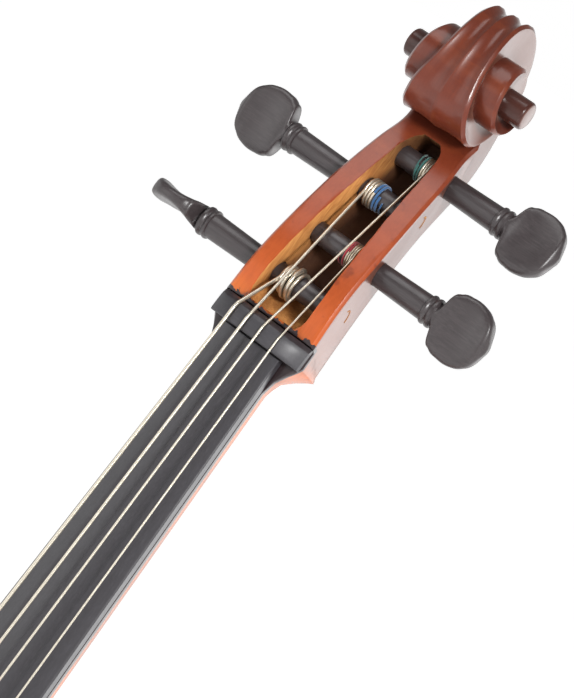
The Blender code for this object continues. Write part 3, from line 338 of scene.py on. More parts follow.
class Graph:
    """Small helper to write shader graphs."""

    def __init__(self, name):
        self.mat = bpy.data.materials.new(name)
        self.mat.use_nodes = True
        self.nodes = self.mat.node_tree.nodes
        self.links = self.mat.node_tree.links
        self.shader = self.nodes["Principled BSDF"]
        self.place = self.new("ShaderNodeTexCoord").outputs["Object"]

    def new(self, kind, settings=None, **sockets):
        made = self.nodes.new(kind)
        for key, value in (settings or {}).items():
            setattr(made, key, value)
        for key, value in sockets.items():
            self.put(made.inputs[key.replace("_", " ")], value)
        return made

    def put(self, socket, value):
        if isinstance(value, bpy.types.NodeSocket):
            self.links.new(value, socket)
        elif isinstance(value, (tuple, list)) and len(value) == 3 and socket.type == "RGBA":
            socket.default_value = (*value, 1.0)
        else:
            socket.default_value = value

    def set(self, **sockets):
        for key, value in sockets.items():
            self.put(self.shader.inputs[key.replace("_", " ")], value)

    def stretch(self, scale):
        made = self.new("ShaderNodeMapping")
        self.put(made.inputs["Vector"], self.place)
        made.inputs["Scale"].default_value = scale
        return made.outputs["Vector"]

    def noise(self, scale, stretch=(1, 1, 1), detail=3.0, rough=0.5, distort=0.0):
        made = self.new("ShaderNodeTexNoise", Scale=scale, Detail=detail, Roughness=rough,
                        Distortion=distort)
        self.put(made.inputs["Vector"], self.stretch(stretch))
        return made.outputs["Fac"]

    def ramp(self, value, stops):
        made = self.new("ShaderNodeValToRGB")
        self.put(made.inputs["Fac"], value)
        band = made.color_ramp
        while len(band.elements) < len(stops):
            band.elements.new(0.5)
        for element, (at, color) in zip(band.elements, stops):
            element.position = at
            element.color = (*(color if isinstance(color, tuple) else (color,) * 3), 1.0)
        return made.outputs["Color"]

    def mix(self, amount, first, second, mode="MIX"):
        made = self.new("ShaderNodeMix", {"data_type": "RGBA", "blend_type": mode})
        self.put(made.inputs["Factor"], amount)
        self.put(made.inputs[6], first)
        self.put(made.inputs[7], second)
        return made.outputs[2]

    def math(self, kind, first, second=0.0):
        made = self.new("ShaderNodeMath", {"operation": kind})
        self.put(made.inputs[0], first)
        self.put(made.inputs[1], second)
        return made.outputs[0]

    def mul(self, first, second):
        return self.math("MULTIPLY", first, second)

    def add(self, first, second):
        return self.math("ADD", first, second)

    def sub(self, first, second):
        return self.math("SUBTRACT", first, second)

    def spread(self, value, low, high, to_low=0.0, to_high=1.0):
        made = self.new("ShaderNodeMapRange", {"clamp": True})
        for index, item in enumerate((value, low, high, to_low, to_high)):
            self.put(made.inputs[index], item)
        return made.outputs[0]

    def axis(self, name):
        made = self.new("ShaderNodeSeparateXYZ")
        self.put(made.inputs[0], self.place)
        return made.outputs[name]

    def hollow(self, distance, samples=6):
        """0 in deep corners, 1 on open surfaces."""
        made = self.new("ShaderNodeAmbientOcclusion", {"samples": samples}, Distance=distance)
        return made.outputs["AO"]

    def bump(self, height, distance, strength=1.0):
        made = self.new("ShaderNodeBump", Height=height, Distance=distance, Strength=strength)
        self.put(self.shader.inputs["Normal"], made.outputs["Normal"])


def srgb(r, g, b):
    """Linear colour from 0-255 display values."""
    out = []
    for c in (r, g, b):
        c /= 255.0
        out.append(c / 12.92 if c <= 0.04045 else ((c + 0.055) / 1.055) ** 2.4)
    return tuple(out)


def neck_axes(g):
    """Neck frame a and f of a shaded point, in metres."""
    sin, cos = math.sin(NECK_TILT), math.cos(NECK_TILT)
    y0, z0 = frame_point(0, 0)
    y, z = g.axis("Y"), g.axis("Z")
    along = g.add(g.mul(y, sin), g.mul(z, cos))
    out = g.sub(g.mul(z, sin), g.mul(y, cos))
    return (g.sub(along, (y0 * sin + z0 * cos) * MM),
            g.sub(out, (z0 * sin - y0 * cos) * MM))


def varnished_head():
    """Maple under red-brown varnish, orange by the nut and darker on the scroll."""
    g = Graph("varnish_head")
    along, out = neck_axes(g)
    patch = g.noise(28, detail=2, rough=0.4)
    height = g.add(g.spread(along, 0.0, 0.172), g.mul(g.sub(patch, 0.5), 0.22))
    base = g.ramp(height, [(0.0, srgb(168, 84, 34)), (0.03, srgb(196, 98, 26)),
                           (0.12, srgb(174, 78, 24)), (0.3, srgb(142, 62, 30)),
                           (0.55, srgb(122, 53, 30)),
                           (0.72, srgb(98, 41, 25)), (1.0, srgb(84, 36, 22))])
    grain = g.noise(900, (1, 1, 0.06), detail=4, rough=0.6)
    base = g.mix(0.4, base, g.ramp(grain, [(0.35, 0.74), (0.6, 1.0)]), "MULTIPLY")
    flame = g.noise(150, (0.25, 0.25, 1.0), detail=2, distort=0.6)
    base = g.mix(g.spread(flame, 0.48, 0.72, 0.0, 0.06), base, srgb(212, 112, 52))
    blot = g.spread(g.noise(170, detail=2), 0.66, 0.74)
    base = g.mix(g.mul(blot, 0.45), base, srgb(84, 34, 24))
    # Painted shade: crevices, corners and recesses of the head are darkened towards near-black
    # brown.
    hollow_shade = g.spread(g.hollow(0.009), 0.35, 0.85, 1.0, 0.0)
    base = g.mix(g.mul(hollow_shade, 0.75), base, srgb(58, 20, 14))
    side = g.math("ABSOLUTE", g.axis("X"))
    up = g.sub(along, EYE_A * MM)
    ahead = g.sub(out, EYE_F * MM)
    away = g.math("SQRT", g.add(g.mul(up, up), g.mul(ahead, ahead)))
    eye = g.mul(g.math("GREATER_THAN", side, 0.0172),
                g.math("LESS_THAN", away, (EYE_R + 0.25) * MM))
    base = g.mix(g.mul(eye, 0.85), base, srgb(50, 26, 21))
    # Painted reflection: faces looking sideways above the nut are tinted grey-brown to stand in for
    # the washed-out reflection on the cheeks.
    facing = g.new("ShaderNodeSeparateXYZ")
    g.put(facing.inputs["Vector"], g.new("ShaderNodeNewGeometry").outputs["Normal"])
    cheek_reflection_tint = g.spread(g.math("ABSOLUTE", facing.outputs["X"]), 0.78, 0.96)
    cheek_reflection_tint = g.mul(cheek_reflection_tint, g.spread(along, -0.002, 0.006))
    base = g.mix(g.mul(cheek_reflection_tint, 0.85), base, srgb(92, 56, 44))
    jag = g.spread(g.noise(420, detail=3), 0.3, 0.7, 0.0115, 0.0142)
    stain = g.mul(g.math("LESS_THAN", along, jag), g.math("GREATER_THAN", out, -0.003))
    base = g.mix(stain, base, srgb(40, 30, 32))
    g.set(Base_Color=base, Roughness=g.spread(g.noise(60), 0.3, 0.7, 0.3, 0.42),
          Coat_Roughness=0.22, **VARNISH)
    g.bump(g.add(g.mul(grain, 0.35), g.noise(240, detail=2)), 0.00012, 0.45)
    return g.mat


def bare_maple():
    """Unvarnished wood inside the pegbox, pale on the walls, with painted shade at the bottom."""
    g = Graph("bare_maple")
    along, out = neck_axes(g)
    grain = g.noise(1100, (1, 1, 0.05), detail=4, rough=0.65)
    base = g.ramp(grain, [(0.3, srgb(160, 98, 48)), (0.62, srgb(206, 146, 84))])
    blotch = g.spread(g.noise(90, detail=4), 0.48, 0.68)
    base = g.mix(g.mul(blotch, 0.45), base, srgb(140, 78, 40))
    # Painted shade: the floor of the cavity and its far end are darkened to deep brown.
    (a0, _, f0), (a1, _, f1) = CAVITY[2], CAVITY[8]
    slope = (f1 - f0) / (a1 - a0)
    floor = g.add(g.mul(along, slope), (f0 - slope * a0) * MM)
    deep = g.spread(g.sub(out, floor), 0.004, 0.013, 1.0, 0.0)
    deep = g.mul(deep, g.spread(along, 0.02, 0.034))
    far_end_shade = g.spread(along, 0.082, 0.104)
    dark = g.math("MAXIMUM", deep, g.mul(far_end_shade, 0.8))
    base = g.mix(g.mul(dark, 0.94), base, srgb(58, 33, 22))
    shade = g.spread(g.hollow(0.02, 8), 0.1, 0.5, 1.0, 0.0)
    base = g.mix(g.mul(shade, 0.5), base, srgb(60, 34, 22))
    g.set(Base_Color=base, Roughness=0.62, Specular_IOR_Level=0.3)
    g.bump(grain, 0.0002, 0.5)
    return g.mat


def ebony(name, grain_along, tones, rough=(0.3, 0.42)):
    """Dark grey-brown ebony with fine lighter streaks; tones are dark, middle and light."""
    g = Graph(name)
    stretch = {"X": (0.05, 1, 1), "Z": (1, 1, 0.02)}[grain_along]
    fine = g.noise(1500, stretch, detail=5, rough=0.65)
    wide = g.noise(260, stretch, detail=3)
    dark, middle, light = tones
    base = g.ramp(fine, [(0.3, dark), (0.52, middle), (0.76, light)])
    base = g.mix(g.spread(wide, 0.5, 0.75, 0.0, 0.35), base, light)
    g.set(Base_Color=base, Roughness=g.spread(g.noise(150, detail=3), 0.3, 0.7, *rough),
          Specular_IOR_Level=0.5, Coat_Weight=0.12, Coat_Roughness=0.3)
    g.bump(fine, 0.00005, 0.5)
    return g.mat


def metal(name, color, rough):
    g = Graph(name)
    fine = g.noise(2500, (1, 1, 0.2), detail=3)
    base = g.mix(g.spread(fine, 0.3, 0.7), tuple(0.86 * c for c in color), color)
    g.set(Base_Color=base, Metallic=1.0,
          Roughness=g.spread(g.noise(400), 0.3, 0.7, rough, rough + 0.1))
    return g.mat


def flat_wound(name, color):
    """Flat metal ribbon wound around a string."""
    g = Graph(name)
    z = g.mul(g.axis("Z"), RIBBON)
    ridge = g.math("PINGPONG", z, 0.5)
    base = g.mix(g.spread(ridge, 0.0, 0.14), tuple(0.45 * c for c in color), color)
    tarnish = g.noise(500, detail=4)
    base = g.mix(g.spread(tarnish, 0.5, 0.7, 0.0, 0.2), base, srgb(186, 174, 148))
    g.set(Base_Color=base, Metallic=0.85, Roughness=0.3)
    g.bump(ridge, 0.00006, 0.6)
    return g.mat


def silk(name, color):
    g = Graph(name)
    fibre = g.noise(4000, (0.2, 1, 1), detail=3)
    base = g.mix(g.spread(fibre, 0.3, 0.7), tuple(0.5 * c for c in color), color)
    g.set(Base_Color=base, Roughness=0.7, Sheen_Weight=0.5)
    g.bump(fibre, 0.0001, 0.6)
    return g.mat


# ---------------------------------------------------------------- neck, pegbox and scroll

def band_shape(wide, flute):
    """(x, sink) across a band: two flutes beside a centre ridge."""
    out = []
    for i in range(BAND + 1):
        x = 1 - 2 * i / BAND
        out.append((x * wide, flute * math.sin(math.pi * abs(x))))
    return out


def box_ring(front, back, blend):
    """Section from a front to a back point; blend 0 is the round neck, 1 the pegbox."""
    fa, ff, fw = front
    ba, bf, bw = back
    deep = math.hypot(fa - ba, ff - bf)
    edge = CHAMFER * blend + 0.5 * (1 - blend)
    shape = [(x, 0.0) for x, _ in band_shape(-(fw - edge * blend), 0)]
    right = []
    for i in range(SIDE + 1):
        t = i / SIDE
        v = (edge + (deep - 2 * edge) * t) / deep
        turn = math.radians(2 + 38 * t)
        round_x = fw * math.cos(turn) ** 0.9
        round_v = math.sin(turn) ** 0.9
        right.append(((fw + (bw - fw) * t) * blend + round_x * (1 - blend),
                      v * blend + round_v * (1 - blend)))
    under = []
    for i, (x, sink) in enumerate(band_shape(bw - edge, FLUTE[0][1] * blend)):
        side = 1 if i < BAND / 2 else -1
        turn = math.radians(40 + 50 * (1 - abs(1 - 2 * i / BAND)) + 2)
        round_x = side * fw * max(0.0, math.cos(turn)) ** 0.9 if i != BAND / 2 else 0.0
        round_v = math.sin(min(turn, math.pi / 2)) ** 0.9
        under.append((x * blend + round_x * (1 - blend),
                      (1 - sink / deep) * blend + round_v * (1 - blend)))
    left = [(-x, v) for x, v in right[::-1]]
    ring = shape + right + under + left
    return [to_world(x, fa + (ba - fa) * v, ff + (bf - ff) * v) for x, v in ring]


def spiral_point(psi, radius, x):
    return to_world(x, EYE_A + radius * math.sin(psi), EYE_F - radius * math.cos(psi))


def neck_sections():
    """(front, back, blend) from the heel's foot up to the pegbox."""
    top = BODY_Z + BODY_LEN
    foot_y = RIB_HALF - 0.3
    front_y = -(RIB_HALF + EDGE + OVERSTAND)
    heel = [(front_y - 1.0, -10.0, foot_y, -10.0, 19.0, 14.0, 0.6),
            (front_y - 1.0, 0.0, foot_y, 0.0, 19.0, 14.0, 0.6),
            (front_y, 4.0, foot_y, 17.0, 19.6, 13.6, 0.6),
            (front_y, 7.0, foot_y - 1.5, 22.5, 20.2, 13.6, 0.5),
            (front_y, 11.0, 36.0, 24.5, 20.6, 15.0, 0.35),
            (front_y, 17.0, 12.0, 29.0, 20.8, 17.0, 0.2),
            (front_y, 25.0, -10.0, 36.5, 20.8, 18.0, 0.1),
            (front_y, 36.0, -28.0, 47.0, 20.8, 19.0, 0.0),
            (front_y, 50.0, -40.5, 60.0, 20.4, 19.0, 0.0)]
    rows = []
    for fy, fz, by, bz, fw, bw, blend in heel:
        fa, _ = neck_coords(fy, top + fz)
        ba, bf = neck_coords(by, top + bz)
        rows.append((fa, 0.0, fw, ba, bf, bw, blend))
    for fa in (-195, -130, -70, -30, -16):
        t = -fa / NECK_LEN
        deep = NECK_DEPTH[0] + (NECK_DEPTH[1] - NECK_DEPTH[0]) * t
        rows.append((fa, 0.0, NECK_W - NECK_TAPER * fa, fa, -deep, 12.0, 0.0))
    for fa, fw, ba, bf, blend in ((-9, 17.5, -8, -22.0, 0.25), (-4, 20.2, -4, -22.6, 0.6),
                                  (0, 22.8, -1, -23.0, 0.9), (2.5, HEAD_W, 0, -23.3, 1.0)):
        rows.append((fa, 0.0, fw, ba, bf, fw, blend))
    fine = []
    for low, high in zip(rows, rows[1:]):
        for t in (0.0, 0.5):
            fine.append(tuple(p + (q - p) * t for p, q in zip(low, high)))
    fine.append(rows[-1])
    return [((r[0], r[1], r[2]), (r[3], r[4], r[5]), r[6]) for r in fine]


def pegbox_sections(count):
    t_band = float(smooth(math.degrees(THROAT), SPIRAL))
    throat = (EYE_A + t_band * math.sin(THROAT), EYE_F - t_band * math.cos(THROAT),
              float(smooth(math.degrees(THROAT), BAND_W)))
    first = math.degrees(THROAT) - 360
    r0 = float(smooth(first, SPIRAL))
    chin = (EYE_A + r0 * math.sin(THROAT), EYE_F - r0 * math.cos(THROAT),
            float(smooth(first, BAND_W)))
    front = resample(BOX_FRONT + [throat], 0.5)
    back = resample(BOX_BACK + [chin], 0.5)
    out = [((NUT_T, 0.0, HEAD_W - 0.2), (0.8, -23.4, 23.6), 1.0)]
    for k in range(count):
        t = k / count
        out.append((tuple(front[int(t * (len(front) - 1))]),
                    tuple(back[int(t * (len(back) - 1))]), 1.0))
    return out


def scroll_side(psi, mirror, foot_psi):
    """Points down the side of the scroll from the outer edge to the next wall's foot."""
    deg = math.degrees(psi)
    radius = float(smooth(deg, SPIRAL))
    wide = float(smooth(deg, BAND_W))
    foot_deg = math.degrees(foot_psi)
    foot_r = max(float(smooth(foot_deg, SPIRAL)), EYE_R) if foot_deg < SPIRAL_END else EYE_R
    foot_w = float(smooth(foot_deg, FOOT_W))
    edge = min(CHAMFER, (radius - foot_r) * 0.5)
    out = []
    for i in range(SIDE + 1):
        t = 1 - i / SIDE
        r = foot_r + (radius - edge - foot_r) * t
        out.append(spiral_point(psi, r, mirror * (foot_w + (wide - foot_w) * t ** 1.7)))
    return out


def scroll_band(psi):
    deg = math.degrees(psi)
    radius = float(smooth(deg, SPIRAL))
    wide = float(smooth(deg, BAND_W)) - CHAMFER
    flute = float(smooth(deg, FLUTE))
    return [spiral_point(psi, radius - sink, x) for x, sink in band_shape(wide, flute)]


def head_mesh():
    """Neck, pegbox and scroll as one closed surface."""
    bm = bmesh.new()

    def row(points):
        return [bm.verts.new(p) for p in points]

    rings = [box_ring(*s) for s in neck_sections() + pegbox_sections(48)]
    psi0 = THROAT - 2 * math.pi
    step = 2 * math.pi / TURN
    last_band = scroll_band(THROAT)
    side0 = scroll_side(psi0, 1, THROAT)[::-1]
    left0 = scroll_side(psi0, -1, THROAT)
    side0[0], left0[-1] = last_band[0], last_band[-1]
    rings.append(last_band[::-1] + side0 + scroll_band(psi0) + left0)
    rows = [row(r) for r in rings]
    grid_faces(bm, rows, closed=True)
    bm.faces.new(rows[0])
    strips = []
    for k in range(TURN + 1):
        psi = psi0 + k * step
        right = scroll_side(psi, 1, psi + 2 * math.pi)[::-1]
        left = scroll_side(psi, -1, psi + 2 * math.pi)
        if k == 0:
            right[0], left[-1] = last_band[0], last_band[-1]
        strips.append(row(right + scroll_band(psi) + left))
    grid_faces(bm, strips)
    end = int(round((math.radians(SPIRAL_END) - THROAT) / step))
    for mirror in (1, -1):
        volute(bm, mirror, step, end)
    return bm


def volute(bm, mirror, step, end):
    """Inner turns and eye on one side of the scroll."""
    walls = []
    feet = []
    full = 2 * math.pi
    for k in range(end + 1):
        psi = THROAT + k * step
        top = spiral_point(psi, float(smooth(math.degrees(psi), SPIRAL)),
                           mirror * (float(smooth(math.degrees(psi), BAND_W)) - CHAMFER))
        foot = scroll_side(psi - full, mirror, psi)[-1] if k else top
        low, high = np.array(foot), np.array(top)
        side = scroll_side(psi, mirror, psi + full) if k < end else []
        feet.append(side[-1] if side else top)
        side = side or [top] * (SIDE + 1)
        wall = [low + (high - low) * t for t in (0, 0.25, 0.5, 0.75, 1)]
        walls.append([bm.verts.new(tuple(p)) for p in wall + side])
    grid_faces(bm, walls)
    eye = []
    turns = [THROAT + (end - TURN + k) * step for k in range(TURN)]
    for x, r in ((EYE_X - 1.6, EYE_R), (EYE_X - 1.0, EYE_R - 0.15), (EYE_X - 0.5, EYE_R - 0.5),
                 (EYE_X - 0.15, EYE_R - 1.1), (EYE_X, EYE_R - 1.9)):
        eye.append([bm.verts.new(spiral_point(t, r, mirror * x)) for t in turns])
    base = [bm.verts.new(p) for p in feet[end - TURN:end]]
    for i in range(1, TURN - 1):
        bm.faces.new((base[i], base[i + 1], eye[0][i + 1], eye[0][i]))
    seam = walls[end]
    bm.faces.new((seam[0], base[1], eye[0][1], eye[0][0], *seam[4:0:-1]))
    bm.faces.new((base[TURN - 1], seam[4], eye[0][0], eye[0][TURN - 1]))
    grid_faces(bm, eye, closed=True)
    bm.faces.new(eye[-1])


# along the neck, half width, floor
CAVITY = [(13.4, 12.5, -2.5), (18, 14.2, -12.0), (24, 14.4, -19.0), (40, 13.6, -22.0),
          (60, 12.5, -28.5), (80, 11.0, -36.5), (95, 9.8, -41.5), (105, 8.8, -43.5),
          (110.5, 7.0, -43.0), (113.6, 4.4, -41.0)]


def cavity_mesh():
    """Hollow of the pegbox with slightly uneven knife-cut walls."""
    front = [(p[0], p[1]) for p in BOX_FRONT]
    half = [(1, 0.8), (0.995, 0.6), (0.99, 0.4), (0.975, 0.2), (0.93, 0.07), (0.84, 0.0),
            (0.4, -0.01)]
    section = [(-1, 1.0), (1, 1.0)] + half + [(0, -0.015)] + [(-x, v) for x, v in half[::-1]]
    rings = []
    for k, (a, wide, floor) in enumerate(resample(CAVITY, 1.6)):
        top = float(smooth(a, front)) + 8.0
        rough = 0.25 if a < 104 else 0.55
        ring = []
        for j, (x, v) in enumerate(section):
            wob = rough * (math.sin(k * 1.7 + j * 2.3) + math.sin(k * 0.63 + j * 1.1)) * 0.35
            ring.append(to_world(x * wide + wob * (1 if x > 0 else -1), a + wob * 0.4,
                                 floor + (top - floor) * v))
        rings.append(ring)
    return lofted(rings)


def peg_radius(x_from_ring):
    return PEG_R0 - PEG_TAPER * x_from_ring


def cheek_at(a):
    return float(smooth(a, [(p[0], p[2]) for p in BOX_FRONT]))


def make_head(varnish, bare):
    mesh = head_mesh()
    for vert in mesh.verts:
        vert.co.z = min(vert.co.z, CAD_BOX[1][2] / MM - HEAD_CLEAR)
    head = piece("head", mesh, [varnish, bare], "cello_body", ["neck_and_scroll"],
                 angle=38)
    cut(head, cavity_mesh(), bare)
    for (_, side, a, f, _), ring_x in zip(PEGS, RING_X):
        blind = -cheek_at(a) + PEG_END
        profile = [(x, peg_radius(ring_x - x) + HOLE_CLEAR)
                   for x in (blind - HOLE_CLEAR, ring_x - 8.0)]
        cut(head, turned(profile, to_world(0, a, f), (side, 0, 0), 64), bare)
    bake(head, 38, bevel=0.3)
    mesh = head.data
    skin = BVHTree.FromPolygons([v.co for v in mesh.vertices], [f.vertices for f in mesh.polygons])
    for string, side, a, f, _ in PEGS:
        if side < 0:
            piece("hole_edge_" + string, hole_edge(skin, a, f), bare, "cello_body",
                  ["neck_and_scroll"], 60)


def hole_edge(skin, a, f):
    """Sliver of pale wood where a left-hand peg's hole shows through the right cheek."""
    path = []
    for deg in range(-40, 101, 7):
        turn = math.radians(deg)
        _, y, z = to_world(0, a + 4.6 * math.cos(turn), f - 2.6 * math.sin(turn))
        hit = skin.ray_cast(Vector((0.06, y * MM, z * MM)), Vector((-1, 0, 0)))[0]
        if hit:
            path.append((hit.x / MM + 0.02, y, z))
    return tube(path, 0.24, 8)


# ---------------------------------------------------------------- pegs and strings

PEG_STEM = [(0.0, 6.2), (0.25, 6.65), (0.9, 6.8), (1.5, 6.62), (1.8, 6.3), (2.3, 6.15),
            (2.75, 6.3), (3.05, 6.65), (3.8, 6.85), (4.6, 6.7), (5.0, 6.1), (5.4, 5.6)]
# along the grip, half width, half thickness
PEG_GRIP = [(0.0, 6.4, 5.6), (0.9, 10.6, 5.3), (3.4, 13.5, 4.4), (8.5, 15.0, 3.4),
            (14.6, 14.8, 3.3), (19.6, 12.6, 3.9), (23.2, 8.4, 4.1), (25.4, 2.0, 1.8)]
GRIP_AT = 6.6


def peg_mesh(side, a, f, grip_turn, ring_x):
    """Peg along x: tapered shaft, double ring, stem and dished grip."""
    end = -cheek_at(a) + PEG_END
    thin = peg_radius(ring_x - end)
    profile = [(end, 0.3 * thin), (end, thin - 0.4), (end + 0.1, thin - 0.12), (end + 0.4, thin)]
    profile += [(x, peg_radius(ring_x - x)) for x in np.linspace(end + 3, ring_x - 0.15, 30)]
    profile += [(ring_x + along, radius) for along, radius in PEG_STEM]
    turns = np.arange(64) * 2 * math.pi / 64
    lean = math.radians(grip_turn)
    rings = [[(x, r * math.cos(t), r * math.sin(t)) for t in turns] for x, r in profile]
    lengths = [np.linspace(0, 3.4, 8)[:-1], np.linspace(3.4, 22, 20)[:-1], np.linspace(22, 25.4, 9)]
    for along in np.concatenate(lengths):
        wide = float(smooth(along, [(p[0], p[1]) for p in PEG_GRIP]))
        thick = float(smooth(along, [(p[0], p[2]) for p in PEG_GRIP]))
        ring = []
        for t in turns:
            c, s = math.cos(t), math.sin(t)
            py = wide * math.copysign(abs(c) ** 0.8, c)
            dish = 1 + 0.5 * abs(c) ** 3 * min(1.0, wide / 14)
            pz = thick * math.copysign(abs(s) ** 0.8, s) * dish
            ring.append((ring_x + GRIP_AT + along, py * math.cos(lean) - pz * math.sin(lean),
                         py * math.sin(lean) + pz * math.cos(lean)))
        rings.append(ring)
    return lofted([[to_world(side * x, a + v, f + w) for x, v, w in ring] for ring in rings])


def peg_of(string):
    for peg, ring_x in zip(PEGS, RING_X):
        if peg[0] == string:
            return peg + (ring_x,)
    raise ValueError(string)


# where the string leaves its peg, turns of metal, turns of silk
WOUND = {"c": (-9.5, 4, 0), "g": (-8.4, 3, 2), "d": (6.6, 2.5, 1.5), "a": (9.4, 3, 1.5)}


def nut_height(x):
    return 3.0 + 9.2 * (1 - abs(x / (HEAD_W - 0.2)) ** 2.6)


def helix(string, x_from, x_to, turn_from, turn_to, thick):
    """Path around a peg; turn 0 is the front, growing over the top and down the back."""
    _, side, a, f, _, ring_x = peg_of(string)
    count = max(8, int(abs(turn_to - turn_from) * 40))
    path = []
    for t in np.linspace(0, 1, count):
        x = x_from + (x_to - x_from) * t
        turn = math.radians(90 - 360 * (turn_from + (turn_to - turn_from) * t))
        r = peg_radius(ring_x - side * x) + thick + 0.1
        path.append(to_world(x, a + r * math.cos(turn), f + r * math.sin(turn)))
    return path


def make_windings(wound, silks):
    for string in "cgda":
        _, side, _, _, _, _ = peg_of(string)
        leave, metal_turns, silk_turns = WOUND[string]
        r = STRING_R[string]
        pitch = -side * (2 * r + 0.12)
        middle = leave + pitch * metal_turns
        if string == "c":
            bm = tube(helix(string, leave, leave + 1.2, 0.0, 1.4, r), r, 14)
            tube(helix(string, leave + 1.2, leave + 7.5, 1.4, 4.3, r), r, 14, bm)
            tube(helix(string, leave + 7.0, leave + 2.2, 4.35, 6.1, r + 1.15), r, 14, bm)
        else:
            bm = tube(helix(string, leave, middle, 0.0, metal_turns, r), r, 14)
        body = "peg_%s_body" % string
        piece("winding_%s_metal" % string, bm, wound, body, ["winding_" + string],
              60)
        if silk_turns:
            last = middle + pitch * silk_turns * 1.1
            end = metal_turns + silk_turns
            bm = tube(helix(string, middle, last, metal_turns, end, r * 0.9), r * 0.9, 14)
            tube(helix(string, last + pitch * 0.3, last + pitch * 1.6, metal_turns + 0.4,
                       metal_turns + 0.95, r * 0.8), r * 0.6, 12, bm)
            piece("winding_%s_silk" % string, bm, silks[string], body, ["winding_" + string],
                  60)


def bridge_top(string):
    """World point where a string crosses the bridge."""
    x = STRING_X[string] * BRIDGE_SPREAD
    drop = BOARD_R - math.sqrt(BOARD_R ** 2 - x ** 2)
    y = -(RIB_HALF + EDGE + TOP_ARCH + BRIDGE_H - drop + STRING_R[string] + 0.8)
    return np.array((x, y, BODY_Z + BRIDGE_U))


def tail_line(t, n):
    """World y, z at t mm from the lower end of the tailpiece and n above its axis."""
    low = np.array((-(RIB_HALF + EDGE + 13.0), BODY_Z + 14.0))
    high = np.array((-(RIB_HALF + EDGE + 83.0), BODY_Z + 246.0))
    along = (high - low) / np.linalg.norm(high - low)
    out = np.array((-along[1], along[0]))
    return low + along * t + out * n


def tail_point(x, t, n):
    y, z = tail_line(t, n)
    return (x, y, z)


def tail_dirs():
    low, high = np.array(tail_line(0, 0)), np.array(tail_line(1, 0))
    return np.array((0, *(high - low))), np.array((0, *(np.array(tail_line(0, 1)) - low)))


def rounded_path(points, radius=2.0):
    """Polyline whose corners are replaced by short arcs."""
    pts = [np.array(p, float) for p in points]
    out = [pts[0]]
    for before, here, after in zip(pts, pts[1:], pts[2:]):
        back = (before - here) / np.linalg.norm(before - here)
        ahead = (after - here) / np.linalg.norm(after - here)
        for t in np.linspace(0, 1, 7):
            out.append(here + back * radius * (1 - t) ** 2 + ahead * radius * t ** 2)
    out.append(pts[-1])
    return out


def make_strings(wound):
    for string in "cgda":
        _, side, a, f, _, ring_x = peg_of(string)
        leave, r = WOUND[string][0], STRING_R[string]
        x0 = STRING_X[string] * NUT_SPREAD
        over = nut_height(x0) + r + 0.1
        radius = peg_radius(ring_x - side * leave) + r + 0.1
        points = [to_world(leave, a, f + radius),
                  to_world(leave + (x0 - leave) * 0.04, a - 1.2, f + radius)]
        points += [to_world(x0, 8.5, over - 0.9), to_world(x0, 6.0, over), to_world(x0, 0.5, over),
                   bridge_top(string)]
        end = tail_line(TAIL_LEN - 1.0, 7.0)
        points.append(np.array((STRING_X[string] * 22.5, end[0], end[1])))
        path = rounded_path(points, 0.5)
        piece("cello_string_" + string, tube(path, r, 14), wound, "cello_body",
              ["string_" + string], 60)


# ---------------------------------------------------------------- fingerboard and nut

def board_half(a):
    return NECK_W - NECK_TAPER * a


def board_height(x, a):
    """Playing surface above the glue plane."""
    half = board_half(a)
    crown = math.sqrt(BOARD_R ** 2 - x ** 2) - math.sqrt(BOARD_R ** 2 - half ** 2)
    return BOARD_EDGE + crown


def make_board(mat):
    rings = []
    for a in np.concatenate([[-0.3, -0.7], np.linspace(-2, -BOARD_LEN + 1, 60), [-BOARD_LEN]]):
        drop = 0.5 if a in (-0.3, -BOARD_LEN) else 0.0
        half = board_half(a)
        hollow = min(6.0, max(0.0, (-a - NECK_LEN - 10) * 0.05))
        xs = half * np.sin(np.radians(np.linspace(-66, 66, 45))) / math.sin(math.radians(66))
        ring = [(x, board_height(x, a) - drop - (0.35 if abs(x) > half * 0.995 else 0)) for x in xs]
        ring += [(half, 0.7), (half - 0.4, 0.3)]
        for x in np.linspace(0.85, -0.85, 17):
            rise = hollow * 1.3 * max(0.0, math.cos(x * math.pi / 1.7)) ** 0.6
            ring.append((x * half, 0.3 + rise))
        ring += [(-half + 0.4, 0.3), (-half, 0.7)]
        rings.append([to_world(x, a, f) for x, f in ring])
    piece("fingerboard_ebony", lofted(rings), mat, "cello_body", ["fingerboard"])


def make_nut(mats):
    xs = np.linspace(-(HEAD_W - 0.4), HEAD_W - 0.4, 161)
    rings = []
    slots = [(STRING_X[s] * NUT_SPREAD, STRING_R[s] + 0.12) for s in "cgda"]
    stations = [(0.0, 0.9), (0.3, 0.35), (0.9, 0.05), (2.0, 0.0), (4.0, 0.0), (6.5, 0.25),
                (NUT_T - 2.6, 0.9), (NUT_T - 2.3, 1.2), (NUT_T - 1.2, 2.4), (NUT_T - 0.4, 3.6)]
    for a, drop in stations:
        ring = []
        for x in xs:
            height = max(1.1, nut_height(x) - drop * (0.3 + 0.7 * nut_height(x) / 12))
            for at, r in slots:
                if abs(x - at) < r:
                    groove = math.sqrt(r * r - (x - at) ** 2) * 0.5
                    height = min(height, nut_height(at) - drop + 0.1 - groove)
            ring.append((x, height))
        ring += [(xs[-1], 0.3), (xs[0], 0.3)]
        rings.append([to_world(x, a + 0.15, f) for x, f in ring])
    bm = lofted(rings)
    for face in bm.faces:
        mid = face.calc_center_median()
        a, _ = neck_coords(mid.y, mid.z)
        face.material_index = 1 if a > NUT_T - 2.4 else 0
    piece("nut_ebony", bm, mats, "cello_body", ["nut"], 40)


# ---------------------------------------------------------------- body

def half_outline(step):
    """Right half of the outline from the lower to the upper end, corners kept sharp."""
    line = np.concatenate([resample(seg, step) for seg in (LOWER_BOUT, WAIST, UPPER_BOUT)])
    return np.minimum(line, (WIDEST, BODY_LEN))


